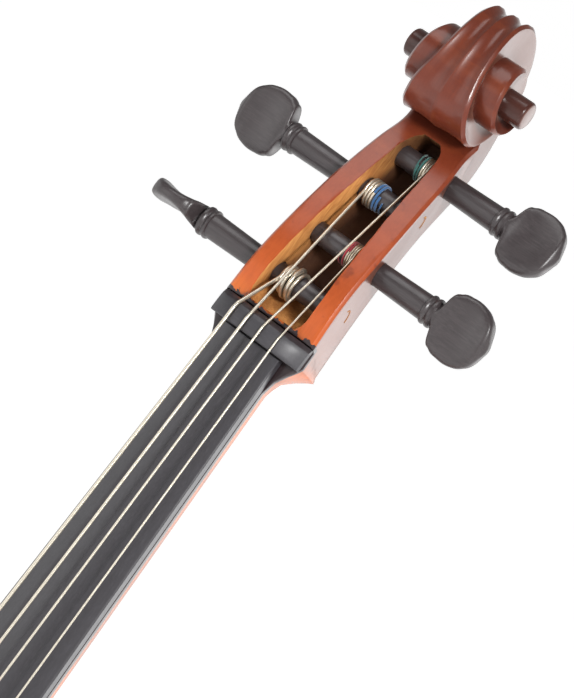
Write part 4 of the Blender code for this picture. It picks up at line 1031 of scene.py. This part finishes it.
def inset(points, distance):
    """Outline moved inwards with mitred corners."""
    pts = np.array(points, float)
    mirrored = np.vstack([pts[1:2] * (-1, 1), pts, pts[-2:-1] * (-1, 1)])
    edge = np.diff(mirrored, axis=0)
    edge /= np.linalg.norm(edge, axis=1)[:, None]
    normal = np.stack([-edge[:, 1], edge[:, 0]], 1)
    both = normal[:-1] + normal[1:]
    both /= (1 + np.sum(normal[:-1] * normal[1:], axis=1))[:, None]
    out = pts + both * distance
    out[0, 0] = out[-1, 0] = 0.0
    edge = half_outline(0.4)
    near = np.array([np.min(np.linalg.norm(edge - p, axis=1)) for p in out])
    good = np.flatnonzero(near > 0.97 * distance) if distance else np.arange(len(out))
    for i in np.setdiff1d(np.arange(len(out)), good):
        out[i] = out[good[np.argmin(np.abs(good - i))]]
    return out


def arch(x, u, height):
    """Height of the arching above the plate's edge."""
    v = abs(u - BODY_LEN / 2) / (BODY_LEN / 2 - 12)
    long_rise = height * max(0.0, 1 - v ** 3.4)
    wide = float(smooth(u, ARCH_WIDTH)) * 1.02
    return long_rise * 0.5 * (1 + math.cos(math.pi * min(1.0, abs(x) / wide)))


# distance in from the edge, drop below the arching, material slot of the band just outside it
PLATE_EDGE = [(0.0, 1.9, 0), (0.35, 1.0, 0), (1.0, 0.35, 0), (2.2, 0.25, 0), (3.6, 0.75, 0),
              (3.65, 0.75, 1), (4.1, 0.8, 1), (4.15, 0.8, 2), (5.0, 0.85, 2), (5.05, 0.85, 1),
              (5.5, 0.85, 1), (8.5, 0.75, 0), (12.0, 0.3, 0)]
PLATE_INSIDE = [(0.0, 0.9, 0), (0.5, 0.0, 0), (12.0, 0.0, 0)]


def plate_mesh(side, height, button=False):
    """Arched plate with a raised edge and inlaid purfling; side -1 is the front, +1 the back."""
    outline = half_outline(6.0)
    bm = bmesh.new()
    for mirror in (1, -1):
        pair = []
        for outer in (True, False):
            rows = []
            slots = []
            for d, drop, slot in PLATE_EDGE if outer else PLATE_INSIDE:
                rows.append((inset(outline, d), drop))
                slots.append(slot)
            inner = rows[-1][0]
            for t in (0.06, 0.13, 0.2, 0.28, 0.36, 0.45, 0.54, 0.63, 0.72, 0.81, 0.9, 1.0):
                spine = BODY_LEN / 2 + (inner[:, 1] - BODY_LEN / 2) * 0.72
                row = np.stack([inner[:, 0] * (1 - t), inner[:, 1] + (spine - inner[:, 1]) * t], 1)
                rows.append((row, 0.0))
                slots.append(0)
            made = []
            for points, drop in rows:
                row = []
                for x, u in points:
                    rise = arch(x, u, height)
                    out = RIB_HALF + rise + (EDGE - drop if outer else drop)
                    row.append(bm.verts.new((mirror * max(x, 0.0), side * out, BODY_Z + u)))
                made.append(row)
            for k, (low, high) in enumerate(zip(made, made[1:])):
                for i in range(len(low) - 1):
                    face = bm.faces.new((low[i], low[i + 1], high[i + 1], high[i]))
                    face.material_index = slots[k + 1] if outer else 0
            pair.append(made[0])
        grid_faces(bm, pair)
    if button:
        add_button(bm)
    return bm


def add_button(bm):
    """Half-round button of the back that covers the heel."""
    ring = [(14 * math.cos(math.radians(t)),
             755 - 4 + 24 * math.sin(math.radians(t)) ** 0.8 * 1.12) for t in range(0, 181, 6)]
    ring = [(-14, 748.0)] + ring[::-1] + [(14, 748.0)]
    rows = []
    for y, scale in ((RIB_HALF + 0.1, 0.96), (RIB_HALF + 0.7, 1.0), (RIB_HALF + EDGE - 0.9, 1.0),
                     (RIB_HALF + EDGE - 0.25, 0.95)):
        rows.append([(x * scale, y, BODY_Z + 748 + (u - 748) * (scale * 0.5 + 0.5) * 0.985)
                     for x, u in ring])
    lofted(rows, bm)


F_STEM = [(56, 401), (60, 411), (68, 413), (75.5, 404), (77.5, 385), (78, 352), (80.5, 318),
          (88, 298), (98, 290), (107, 288), (113, 292)]
F_WIDE = [2.5, 3.5, 4.0, 4.5, 4.8, 5.0, 4.8, 4.5, 4.0, 3.5, 2.5]
F_EYES = [(54, 407, 6.2), (111.5, 297, 8.2)]


def f_outline(mirror):
    """Outline of one f-hole with its two notches."""
    mid = resample([(p[0], p[1], w) for p, w in zip(F_STEM, F_WIDE)], 2.0)
    normal = normals(mid[:, :2])
    notch = 2.6 * np.exp(-((mid[:, 1] - BRIDGE_U) / 1.1) ** 2)[:, None]
    left = mid[:, :2] + normal * (mid[:, 2:3] + notch)
    right = mid[:, :2] - normal * (mid[:, 2:3] + notch)
    return [(mirror * p[0], BODY_Z + p[1]) for p in list(left) + list(right)[::-1]]


def make_plates(spruce, maple, dark, pale, bare):
    top = piece("front_plate", plate_mesh(-1, TOP_ARCH), [spruce, dark, pale, bare], "cello_body",
                ["top_plate"], angle=50)
    low, high = -(RIB_HALF + EDGE + TOP_ARCH + 20), -RIB_HALF + 5
    for mirror in (-1, 1):
        cut(top, prism(f_outline(mirror), low, high), bare)
        for x, u, r in F_EYES:
            eye = turned([(0, r), (high - low, r)], (mirror * x, low, BODY_Z + u), (0, 1, 0))
            cut(top, eye, bare)
    for half, foot, head in ((21.3, BODY_Z + BODY_LEN - 10.5, BODY_Z + BODY_LEN + 9),
                             (20.2, BODY_Z - 9, BODY_Z + 9.2)):
        notch = [(-half, foot), (half, foot), (half, head), (-half, head)]
        cut(top, prism(notch, low, high), bare)
    bake(top, 50)
    piece("rear_plate", plate_mesh(1, BACK_ARCH, button=True), [maple, dark, pale], "cello_body",
          ["back_plate"], angle=50)


def rib_curves():
    """Rib curves (outer face) of the three bouts of one half."""
    curves = []
    for seg in (LOWER_BOUT, WAIST, UPPER_BOUT):
        pts = resample(seg, 1.5)
        curves.append(pts + normals(pts) * OVERHANG)
    lower, waist, upper = curves
    clear = RIB_T * 2 + 0.3
    waist = waist[[np.min(np.linalg.norm(lower - p, axis=1)) > clear for p in waist]]
    lower[:, 0] = np.maximum(lower[:, 0], 0.0)
    lower = lower[lower[:, 0] > 1.0]
    lower = np.vstack([[0.1, lower[0, 1]], lower])
    upper = upper[upper[:, 0] > 23.5]
    upper, waist = corner(upper, waist[::-1])
    return lower, waist[::-1], upper


def corner(bout, waist):
    """Run the bout's first end over the waist's, which stops at the bout's inner face."""
    run = (bout[0] - bout[3]) / np.linalg.norm(bout[0] - bout[3])
    inward = np.array((run[1], -run[0]))
    depth = (waist - bout[0]) @ inward - RIB_T - 0.1
    reach = np.linalg.norm(waist - bout[0], axis=1)
    first = max(i for i in range(len(waist)) if reach[i] < 25.0 and depth[i] <= 0.0) + 1
    share = depth[first] / (depth[first] - depth[first - 1])
    waist = np.vstack([waist[first] + (waist[first - 1] - waist[first]) * share, waist[first:]])
    length = np.dot(waist[0] - bout[0], run)
    tip = [bout[0] + run * k for k in np.arange(length, 0.2, -0.5)]
    return np.vstack(tip + [bout]), waist


def make_ribs(maple, bare):
    for side, mirror in (("left", -1), ("right", 1)):
        for name, curve in zip(("lower", "waist", "upper"), rib_curves()):
            inner = curve + normals(curve) * RIB_T
            inner[:, 0] = np.maximum(inner[:, 0], 0.1)
            ring = [(mirror * p[0], BODY_Z + p[1]) for p in list(curve) + list(inner)[::-1]]
            mesh = prism(ring, -RIB_HALF + RIB_GAP, RIB_HALF - RIB_GAP)
            rib = piece("side_%s_%s" % (name, side), mesh, [maple, bare], "cello_body",
                        ["rib_%s_%s" % (name, side)], 30)
            if name == "lower":
                hole = [(0, COLLAR_HOLE), (20, COLLAR_HOLE)]
                cut(rib, turned(hole, (0, 0, BODY_Z - 4), (0, 0, 1)), bare)
                bake(rib, 30)


# ---------------------------------------------------------------- bridge, saddle, tailpiece

BRIDGE_HALF = [(0, 30), (10, 31), (17, 24), (22, 12), (28, 7), (28, 2), (29, 0), (45, 0), (46, 2.5),
               (42, 7), (36, 12), (33, 22), (37, 30), (42, 32.5), (41, 38), (33, 40), (29, 45),
               (31, 52), (36, 60), (36, 70), (32.5, 78)]
EAR = [(15, 40), (23, 46), (25, 55), (20, 61), (15, 55), (13, 47), (15, 40)]
WINDOWS = [[(0, 44), (6, 50), (7.5, 56), (4.5, 60), (0, 57), (-4.5, 60), (-7.5, 56), (-6, 50),
            (0, 44)], EAR, [(-x, h) for x, h in EAR]]


def bridge_crown(x):
    return BRIDGE_H - (BOARD_R - math.sqrt(BOARD_R ** 2 - x ** 2))


def make_bridge(mat, dark):
    lower = resample(BRIDGE_HALF[:5], 1.2)
    foot = [(28, 2), (29, 0.2), (33, 0), (37, 0), (41, 0), (45, 0.2)]
    waist = resample(BRIDGE_HALF[8:], 1.2)
    crown = [(x, bridge_crown(x)) for x in np.linspace(30, 0, 24)]
    half = [tuple(p) for p in lower] + foot + [tuple(p) for p in waist] + crown
    ring = half + [(-x, h) for x, h in half[-2:0:-1]]
    base = RIB_HALF + EDGE + TOP_ARCH + 0.15
    top_rise = arch(0, BRIDGE_U, TOP_ARCH)
    rows = []
    for across in (-1, -0.9, 0.9, 1):
        row = []
        for x, h in ring:
            thick = 5.5 - 4.2 * min(1.0, h / BRIDGE_H) ** 0.8
            drop = top_rise - arch(abs(x), BRIDGE_U, TOP_ARCH) if h < 2.5 else 0.0
            row.append((x, -(base + h - drop + top_rise - TOP_ARCH),
                        BODY_Z + BRIDGE_U + across * thick))
        rows.append(row)
    bridge = piece("bridge_carved", lofted(rows), [mat, dark], "cello_body", ["bridge"],
                   30)
    for hole in WINDOWS:
        loop = resample(hole, 1.0)[:-1]
        cut(bridge, lofted([[(x, -(base + h), BODY_Z + BRIDGE_U + side * 12) for x, h in loop]
                            for side in (-1, 1)]), mat)
    bake(bridge, 30, bevel=0.25)


def make_saddle(mat):
    base = RIB_HALF + EDGE
    low, high = BODY_Z - 1.5, BODY_Z + 9.0
    rings = []
    for x in np.concatenate([[-20], np.linspace(-19.5, 19.5, 40), [20]]):
        rise = 3.0 + 7.0 * math.cos(math.pi * x / 44) ** 0.7
        back = -(RIB_HALF + 0.3)
        crown = [(0.75, low), (0.93, low + 1.4), (1.0, low + 3.5), (0.93, low + 6.2), (0.7, high)]
        rings.append([(x, back, low)] + [(x, -(base + rise * k), z) for k, z in crown]
                     + [(x, back, high)])
    piece("saddle_ebony", lofted(rings), mat, "cello_body", ["saddle"], 40)


TUNER_X = (-22.5, -7.5, 7.5, 22.5)
AXLE_T, AXLE_N = TAIL_LEN - 7.0, -2.5
ARM = 25.0
ROD_TUNER_R = 1.8
TAIL_SHAPE = [(0, 15, 5), (3, 17, 7), (60, 20, 8), (130, 23.5, 8), (190, 27, 8), (225, 29.5, 8),
              (TAIL_LEN - 2, 30.5, 8), (TAIL_LEN, 29.8, 7)]


def slab(x, half, hull, mapper):
    """Prism of an outline in the tailpiece frame between x - half and x + half."""
    return lofted([[mapper(x + side * half, t, n) for t, n in hull] for side in (-1, 1)])


def make_tailpiece(mat):
    along, out = tail_dirs()
    rings = []
    for t in np.concatenate([[0, 0.6, 1.5, 3], np.linspace(8, TAIL_LEN - 4, 40),
                             [TAIL_LEN - 2, TAIL_LEN - 0.8, TAIL_LEN]]):
        half = float(smooth(t, [(p[0], p[1]) for p in TAIL_SHAPE]))
        thick = float(smooth(t, [(p[0], p[2]) for p in TAIL_SHAPE]))
        xs = half * np.sin(np.linspace(-math.pi / 2, math.pi / 2, 33))
        top = [(x, thick * 0.45 + 2.5 - 5.0 * (x / half) ** 2) for x in xs]
        low = [(x, n - thick * 0.95 + 1.5 * (x / half) ** 2) for x, n in top[::-1]]
        rings.append([tail_point(x, t, n) for x, n in top + low])
    tail = piece("tailpiece_shell", lofted(rings), mat, "cello_body", ["tailpiece"])
    for x in TUNER_X:
        hull = [(AXLE_T - 5.8, -16), (TAIL_LEN + 4, -16), (TAIL_LEN + 4, 12), (AXLE_T - 5.8, 12)]
        cut(tail, slab(x, 2.6, hull, tail_point))
        cut(tail, turned([(-16, ROD_TUNER_R + 0.3), (16, ROD_TUNER_R + 0.3)],
                         tail_point(x, AXLE_T - ARM, 0), out, 32))
    cut(tail, turned([(-27.6, 1.3), (27.6, 1.3)], tail_point(0, AXLE_T, AXLE_N), (1, 0, 0), 24))
    for x in (-8.5, 8.5):
        cut(tail, turned([(-6, 2.1), (16, 2.1)], tail_point(x, 0, -0.8), along, 24))
    bake(tail, 35, bevel=0.3)


def make_tuners(steel):
    _, out = tail_dirs()
    up = np.cross(out, (1.0, 0, 0))
    for label, x in zip("cgda", TUNER_X):
        hull = [(-3.4, -3.6), (-3.4, 8.2), (-2.9, 8.6), (2.7, 8.6), (3.2, 8.2), (4.0, 5.0),
                (4.4, 3.0), (4.4, -5.0), (3.6, -8.8), (2.6, -11.2), (2.0, -11.6),
                (-ARM - 2.2, -11.6), (-ARM - 2.6, -11.2), (-ARM - 2.6, -10.2), (-ARM - 2.2, -9.8),
                (-6.5, -9.5), (-4.4, -8.2), (-3.6, -6.0)]
        bm = slab(x, 2.2, hull, lambda px, t, n: tail_point(px, AXLE_T + t, AXLE_N + n))
        lever = piece("tuner_claw_" + label, bm, steel, "tuner_%s_lever_body" % label,
                      ["tuner_lever_" + label], 30)
        pivot = tail_point(x, AXLE_T, AXLE_N)
        cut(lever, turned([(-4, 1.35), (4, 1.35)], pivot, (1, 0, 0), 24))
        bake(lever, 30, bevel=0.25)
        foot = np.array(tail_point(x, AXLE_T - ARM, AXLE_N - 9.8 + 0.5))
        thread = [(0, 0.8), (0.5, 1.3)]
        for k in range(36):
            thread += [(0.8 + k * 0.7, 1.45), (1.15 + k * 0.7, ROD_TUNER_R - 0.02)]
        thread += [(27.0, 1.5), (27.4, ROD_TUNER_R - 0.02), (30.4, ROD_TUNER_R - 0.02),
                   (31.0, 1.4), (31.2, 0.9)]
        piece("tuner_screw_" + label, turned(thread, foot, out, 28), steel,
              "tuner_%s_rod_body" % label, ["tuner_rod_" + label], 30)
        at = foot + out * 22.2
        profile = [(0.0, ROD_TUNER_R + 0.2), (0.0, 4.6), (1.0, 5.25), (1.3, 5.6), (5.9, 5.6),
                   (6.2, 5.25), (7.0, 4.9), (7.2, 4.6), (7.2, ROD_TUNER_R + 0.2)]
        bm = bmesh.new()
        turns = np.arange(96) * 2 * math.pi / 96
        rows = []
        for n, r in profile:
            ring = []
            for i, t in enumerate(turns):
                knurl = r - (0.3 if i % 3 == 0 and r > 5.0 else 0.0)
                spoke = math.cos(t) * np.array((1.0, 0, 0)) + math.sin(t) * up
                ring.append(bm.verts.new(tuple(at + out * n + knurl * spoke)))
            rows.append(ring)
        grid_faces(bm, rows + [rows[0]], closed=True)
        piece("tuner_knob_" + label, bm, steel, "tuner_%s_head_body" % label,
              ["tuner_head_" + label], 25)


def make_tail_gut(mat):
    """Cord from the tailpiece over the saddle and round the endpin collar."""
    top = -(RIB_HALF + EDGE + 10.0 + 1.9)
    start = tail_line(6.0, -0.8)
    out = tail_line(-2.0, -0.8)
    half = [(8.5, start[0], start[1]), (8.5, out[0], out[1]), (8.5, top - 0.4, BODY_Z + 4.0),
            (8.6, top - 0.2, BODY_Z + 0.5), (9.4, top + 3.5, BODY_Z - 3.2),
            (11.6, -50.0, BODY_Z - 3.6), (16.4, -6.0, BODY_Z - 3.6)]
    bend = [(16.6 * math.cos(math.radians(d)), 16.6 * math.sin(math.radians(d)), BODY_Z - 3.6)
            for d in range(10, 91, 10)]
    run = [tuple(p) for p in rounded_path(half, 1.2)] + bend
    path = run + [(-x, y, z) for x, y, z in run[-2::-1]]
    piece("tail_cord", tube(path, 1.5, 16), mat, "cello_body", ["tail_gut"], 60)


# ---------------------------------------------------------------- endpin

ROD_R = 5.0
ROD_LEN = 520.0
TIP_H = 32.0


def make_endpin(black, steel, rubber):
    low = np.array((0, 0, BODY_Z))
    collar = [(-16.0, ROD_R + 0.3), (-16.0, 11.4), (-15.2, 12.8), (-13.0, 15.3), (-12.3, 15.5),
              (-7.8, 15.5), (-7.0, 15.2), (-5.6, 14.5), (-3.6, 14.3), (-1.8, 14.5), (-0.7, 15.4),
              (0.6, 15.5), (5.6, 12.0), (24.0, 11.8), (24.0, ROD_R + 0.3)]
    body = piece("endpin_plug", ring_solid(collar, low, (0, 0, 1), 72), black, "cello_body",
                 ["endpin_collar"], 35)
    cut(body, turned([(0, 2.8), (30, 2.8)], (0, 2, BODY_Z - 10.0), (0, 1, 0), 32))
    bake(body, 35)
    rod = [(14.0, 3.6), (TIP_H + 1, ROD_R - 0.9), (TIP_H + 2.5, ROD_R)]
    for z in range(60, 500, 40):
        rod += [(z, ROD_R), (z + 0.4, ROD_R - 0.25), (z + 1.6, ROD_R - 0.25), (z + 2.0, ROD_R)]
    rod += [(ROD_LEN - 2, ROD_R), (ROD_LEN - 0.8, ROD_R - 0.6), (ROD_LEN, ROD_R - 2)]
    piece("endpin_bar", turned(rod, (0, 0, 0), (0, 0, 1), 64), steel, "endpin_body", ["endpin_rod"],
          30)
    tip = [(0.0, 8.4), (0.5, 9.1), (2.0, 9.55), (5.0, 9.4), (5.6, 8.9), (6.6, 8.9), (7.2, 9.25),
           (10.0, 9.0), (10.6, 8.5), (11.6, 8.5), (12.2, 8.8), (22.0, 8.0), (TIP_H - 1, 7.6),
           (TIP_H - 0.3, 7.2), (TIP_H, 6.6), (TIP_H, ROD_R + 0.15), (13.7, ROD_R + 0.15)]
    piece("endpin_rubber", turned(tip, (0, 0, 0), (0, 0, 1), 64), rubber, "endpin_body",
          ["rubber_tip"], 30)
    start = (0, ROD_R + 0.3, BODY_Z - 10.0)
    turns = np.arange(48) * 2 * math.pi / 48
    screw = [(0.0, 1.5), (0.5, 2.3)]
    for k in range(14):
        screw += [(0.9 + k * 0.8, 2.05), (1.3 + k * 0.8, 2.38)]
    screw += [(12.4, 2.2), (12.5, 3.7), (12.8, 4.0), (13.9, 4.0)]
    rings = [[(r * math.cos(t), start[1] + along, start[2] + r * math.sin(t)) for t in turns]
             for along, r in screw]
    wing = [(15.0, 6.5, 2.6), (16.0, 7.7, 2.2), (17.0, 8.4, 1.9), (19.5, 9.1, 1.75),
            (22.0, 9.4, 1.7), (24.0, 9.1, 1.7), (26.0, 8.0, 1.7), (27.2, 6.2, 1.6),
            (28.0, 4.0, 1.2)]
    for along, wide, thick in wing:
        rings.append([(thick * math.cos(t), start[1] + along, start[2] + wide * math.sin(t))
                      for t in turns])
    piece("endpin_wing_screw", lofted(rings), steel, "endpin_screw_body", ["endpin_thumb_screw"],
          35)


# ---------------------------------------------------------------- body materials

def flamed_maple(name, flame_axis="X"):
    """Maple with curl, under the same red-brown varnish as the head."""
    g = Graph(name)
    stretch = {"X": (0.22, 0.22, 1.0), "Y": (1.0, 0.12, 0.35)}[flame_axis]
    curl = g.noise(130, stretch, detail=2, rough=0.4, distort=0.35)
    grain = g.noise(900, (1, 1, 0.05), detail=4, rough=0.6)
    base = g.ramp(curl, [(0.33, srgb(104, 42, 22)), (0.5, srgb(132, 56, 28)),
                         (0.68, srgb(162, 76, 36))])
    base = g.mix(0.4, base, g.ramp(grain, [(0.35, 0.7), (0.6, 1.0)]), "MULTIPLY")
    worn = g.spread(g.noise(9, detail=4), 0.5, 0.72)
    base = g.mix(g.mul(worn, 0.3), base, srgb(186, 96, 44))
    # Painted shade: hollows and corners are darkened towards near-black brown.
    hollow_shade = g.spread(g.hollow(0.01), 0.3, 0.9, 1.0, 0.0)
    base = g.mix(g.mul(hollow_shade, 0.7), base, srgb(60, 22, 12))
    g.set(Base_Color=base, Roughness=g.spread(g.noise(40), 0.3, 0.7, 0.2, 0.34),
          Coat_Roughness=0.24, **VARNISH)
    relief = g.add(g.mul(curl, 0.4), g.mul(grain, 0.3))
    g.bump(relief, 0.0002, 0.4)
    return g.mat


def varnished_top():
    """Spruce with straight annual rings under orange-brown varnish."""
    g = Graph("varnish_spruce")
    x = g.math("ABSOLUTE", g.axis("X"))
    sway = g.mul(g.sub(g.noise(6, (1, 0.2, 0.35), detail=2), 0.5), 0.012)
    rings = g.math("SINE", g.mul(g.add(x, sway), 2 * math.pi / 0.0021))
    ring = g.spread(rings, 0.1, 0.95)
    fibre = g.noise(1400, (1, 1, 0.012), detail=4)
    base = g.mix(g.mul(ring, 0.55), srgb(176, 86, 34), srgb(122, 50, 20))
    base = g.mix(0.35, base, g.ramp(fibre, [(0.35, 0.68), (0.6, 1.0)]), "MULTIPLY")
    worn = g.spread(g.noise(7, detail=5), 0.5, 0.7)
    base = g.mix(g.mul(worn, 0.3), base, srgb(196, 110, 48))
    # Painted shade: hollows and corners are darkened towards near-black brown.
    hollow_shade = g.spread(g.hollow(0.012), 0.3, 0.9, 1.0, 0.0)
    base = g.mix(g.mul(hollow_shade, 0.75), base, srgb(56, 24, 12))
    g.set(Base_Color=base, Roughness=g.spread(g.noise(40), 0.3, 0.7, 0.22, 0.36),
          Coat_Roughness=0.24, **VARNISH)
    g.bump(g.add(g.mul(ring, 0.4), fibre), 0.00015, 0.45)
    return g.mat


def raw_wood(name, pale, deep, grain=(1, 1, 0.03), rough=0.7):
    g = Graph(name)
    fibre = g.noise(900, grain, detail=4, rough=0.6)
    base = g.ramp(fibre, [(0.3, deep), (0.62, pale)])
    base = g.mix(g.spread(g.noise(50, detail=3), 0.45, 0.75, 0.0, 0.35), base, deep)
    g.set(Base_Color=base, Roughness=rough, Specular_IOR_Level=0.3)
    g.bump(fibre, 0.00015, 0.5)
    return g.mat


def dull(name, color, rough, grit=1200.0, depth=0.00006):
    """Plain dark plastic, rubber or dyed wood with fine grit."""
    g = Graph(name)
    speck = g.noise(grit, detail=4)
    base = g.mix(g.spread(speck, 0.35, 0.7), color, tuple(min(1.0, 1.6 * c + 0.004) for c in color))
    g.set(Base_Color=base,
          Roughness=g.spread(g.noise(80, detail=3), 0.3, 0.7, rough, min(1.0, rough + 0.14)))
    g.bump(speck, depth, 0.5)
    return g.mat


def dress(mat, names):
    """Give carried-over CAD nodes a better material."""
    for name in names:
        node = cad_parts[name]
        node.data.materials.clear()
        node.data.materials.append(mat)


# ---------------------------------------------------------------- studio

def backdrop():
    """Pale floor, wide enough to fill every view down to the horizon."""
    bm = bmesh.new()
    ticks = [FLOOR * (2 * i / FLOOR_CELLS - 1) for i in range(FLOOR_CELLS + 1)]
    rows = [[bm.verts.new((x, y, FLOOR_Z)) for x in ticks] for y in ticks]
    grid_faces(bm, rows)
    mesh = bpy.data.meshes.new("floor")
    bm.to_mesh(mesh)
    bm.free()
    obj = bpy.data.objects.new("floor", mesh)
    bpy.context.scene.collection.objects.link(obj)
    g = Graph("floor_paper")
    g.set(Base_Color=g.mix(g.spread(g.noise(3), 0.3, 0.7), (0.93, 0.93, 0.93), (0.95, 0.95, 0.95)),
          Roughness=0.9, Specular_IOR_Level=0.1, Emission_Color=(1.0, 1.0, 1.0, 1.0),
          Emission_Strength=FLOOR_GLOW)
    mesh.materials.append(g.mat)


def soft_light(name, at, aim, size, power):
    data = bpy.data.lights.new(name, "AREA")
    data.shape = "RECTANGLE"
    data.size, data.size_y = size
    data.energy = power
    lamp = bpy.data.objects.new(name, data)
    lamp.location = at
    lamp.rotation_euler = (Vector(aim) - Vector(at)).to_track_quat("-Z", "Y").to_euler()
    lamp.visible_camera = False
    bpy.context.scene.collection.objects.link(lamp)


def studio():
    backdrop()
    world = bpy.data.worlds.new("studio")
    bpy.context.scene.world = world
    world.use_nodes = True
    tree = world.node_tree
    shade = tree.nodes["Background"]
    place = tree.nodes.new("ShaderNodeTexCoord")
    split = tree.nodes.new("ShaderNodeSeparateXYZ")
    sky = tree.nodes.new("ShaderNodeValToRGB")
    tree.links.new(place.outputs["Generated"], split.inputs["Vector"])
    tree.links.new(split.outputs["Z"], sky.inputs["Fac"])
    tree.links.new(sky.outputs["Color"], shade.inputs["Color"])
    for stop, (height, level) in zip(sky.color_ramp.elements, SKY):
        stop.position = height
        stop.color = (level, level, level, 1.0)
    shade.inputs["Strength"].default_value = 1.0
    for light in LIGHTS:
        soft_light(*light)


def camera():
    data = bpy.data.cameras.new("camera")
    data.sensor_fit = "VERTICAL"
    data.sensor_height = CAMERA_SENSOR
    data.lens = CAMERA_LENS
    data.clip_start = CAMERA_NEAR
    obj = bpy.data.objects.new("camera", data)
    obj.location = CAMERA_AT
    obj.rotation_euler = CAMERA_TURN
    bpy.context.scene.collection.objects.link(obj)
    bpy.context.scene.camera = obj


# ---------------------------------------------------------------- build

def build():
    head_varnish = varnished_head()
    maple = flamed_maple("varnish_maple_back")
    rib_maple = flamed_maple("varnish_maple_ribs", "Y")
    spruce = varnished_top()
    bare = bare_maple()
    inside = raw_wood("raw_spruce", srgb(214, 176, 124), srgb(172, 128, 80))
    bridge_wood = raw_wood("bridge_wood", srgb(204, 160, 104), srgb(150, 104, 58), (0.1, 1, 1),
                           0.5)
    peg_wood = ebony("ebony_pegs", "X", (srgb(42, 36, 37), srgb(50, 44, 45), srgb(62, 55, 56)))
    board_wood = ebony("ebony_board", "Z", (srgb(42, 40, 43), srgb(46, 44, 48), srgb(54, 52, 56)),
                       (0.3, 0.36))
    nut_wood = ebony("ebony_nut", "X", (srgb(42, 40, 43), srgb(47, 45, 49), srgb(56, 54, 58)),
                     (0.5, 0.62))
    nut_stain = ebony("ebony_nut_stain", "X",
                      (srgb(32, 26, 28), srgb(40, 33, 36), srgb(52, 44, 46)))
    purfle_dark = dull("purfling_dark", srgb(30, 20, 16), 0.5)
    purfle_pale = raw_wood("purfling_pale", srgb(206, 140, 74), srgb(170, 104, 50))
    wound = flat_wound("string_winding", srgb(214, 206, 190))
    steel = metal("polished_steel", srgb(196, 196, 198), 0.16)
    resin = dull("black_resin_shell", srgb(26, 26, 27), 0.3)
    rubber = dull("rubber_black", srgb(30, 30, 30), 0.75, 600, 0.0002)
    cord = dull("cord_black", srgb(24, 24, 25), 0.45)
    silks = {"g": silk("silk_blue", srgb(24, 88, 142)), "d": silk("silk_green", srgb(20, 92, 86)),
             "a": silk("silk_red", srgb(176, 34, 54))}

    make_head(head_varnish, bare)
    for (string, side, a, f, grip_turn), ring_x in zip(PEGS, RING_X):
        piece("peg_turned_" + string, peg_mesh(side, a, f, grip_turn, ring_x), peg_wood,
              "peg_%s_body" % string, ["peg_" + string], 45)
    make_windings(wound, silks)
    make_strings(wound)
    make_board(board_wood)
    make_nut([nut_wood, nut_stain])
    make_plates(spruce, maple, purfle_dark, purfle_pale, bare)
    make_ribs(rib_maple, bare)
    make_bridge(bridge_wood, purfle_dark)
    make_saddle(peg_wood)
    make_tailpiece(resin)
    make_tuners(steel)
    make_tail_gut(cord)
    make_endpin(peg_wood, steel, rubber)
    dress(steel, ["tuner_axle"])
    dress(inside, [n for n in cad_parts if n.startswith(("lining_", "corner_block_"))
                   or n in ("top_block", "bottom_block", "bass_bar", "sound_post")])


bpy.context.scene.view_settings.view_transform = "Standard"
camera()
build()
studio()
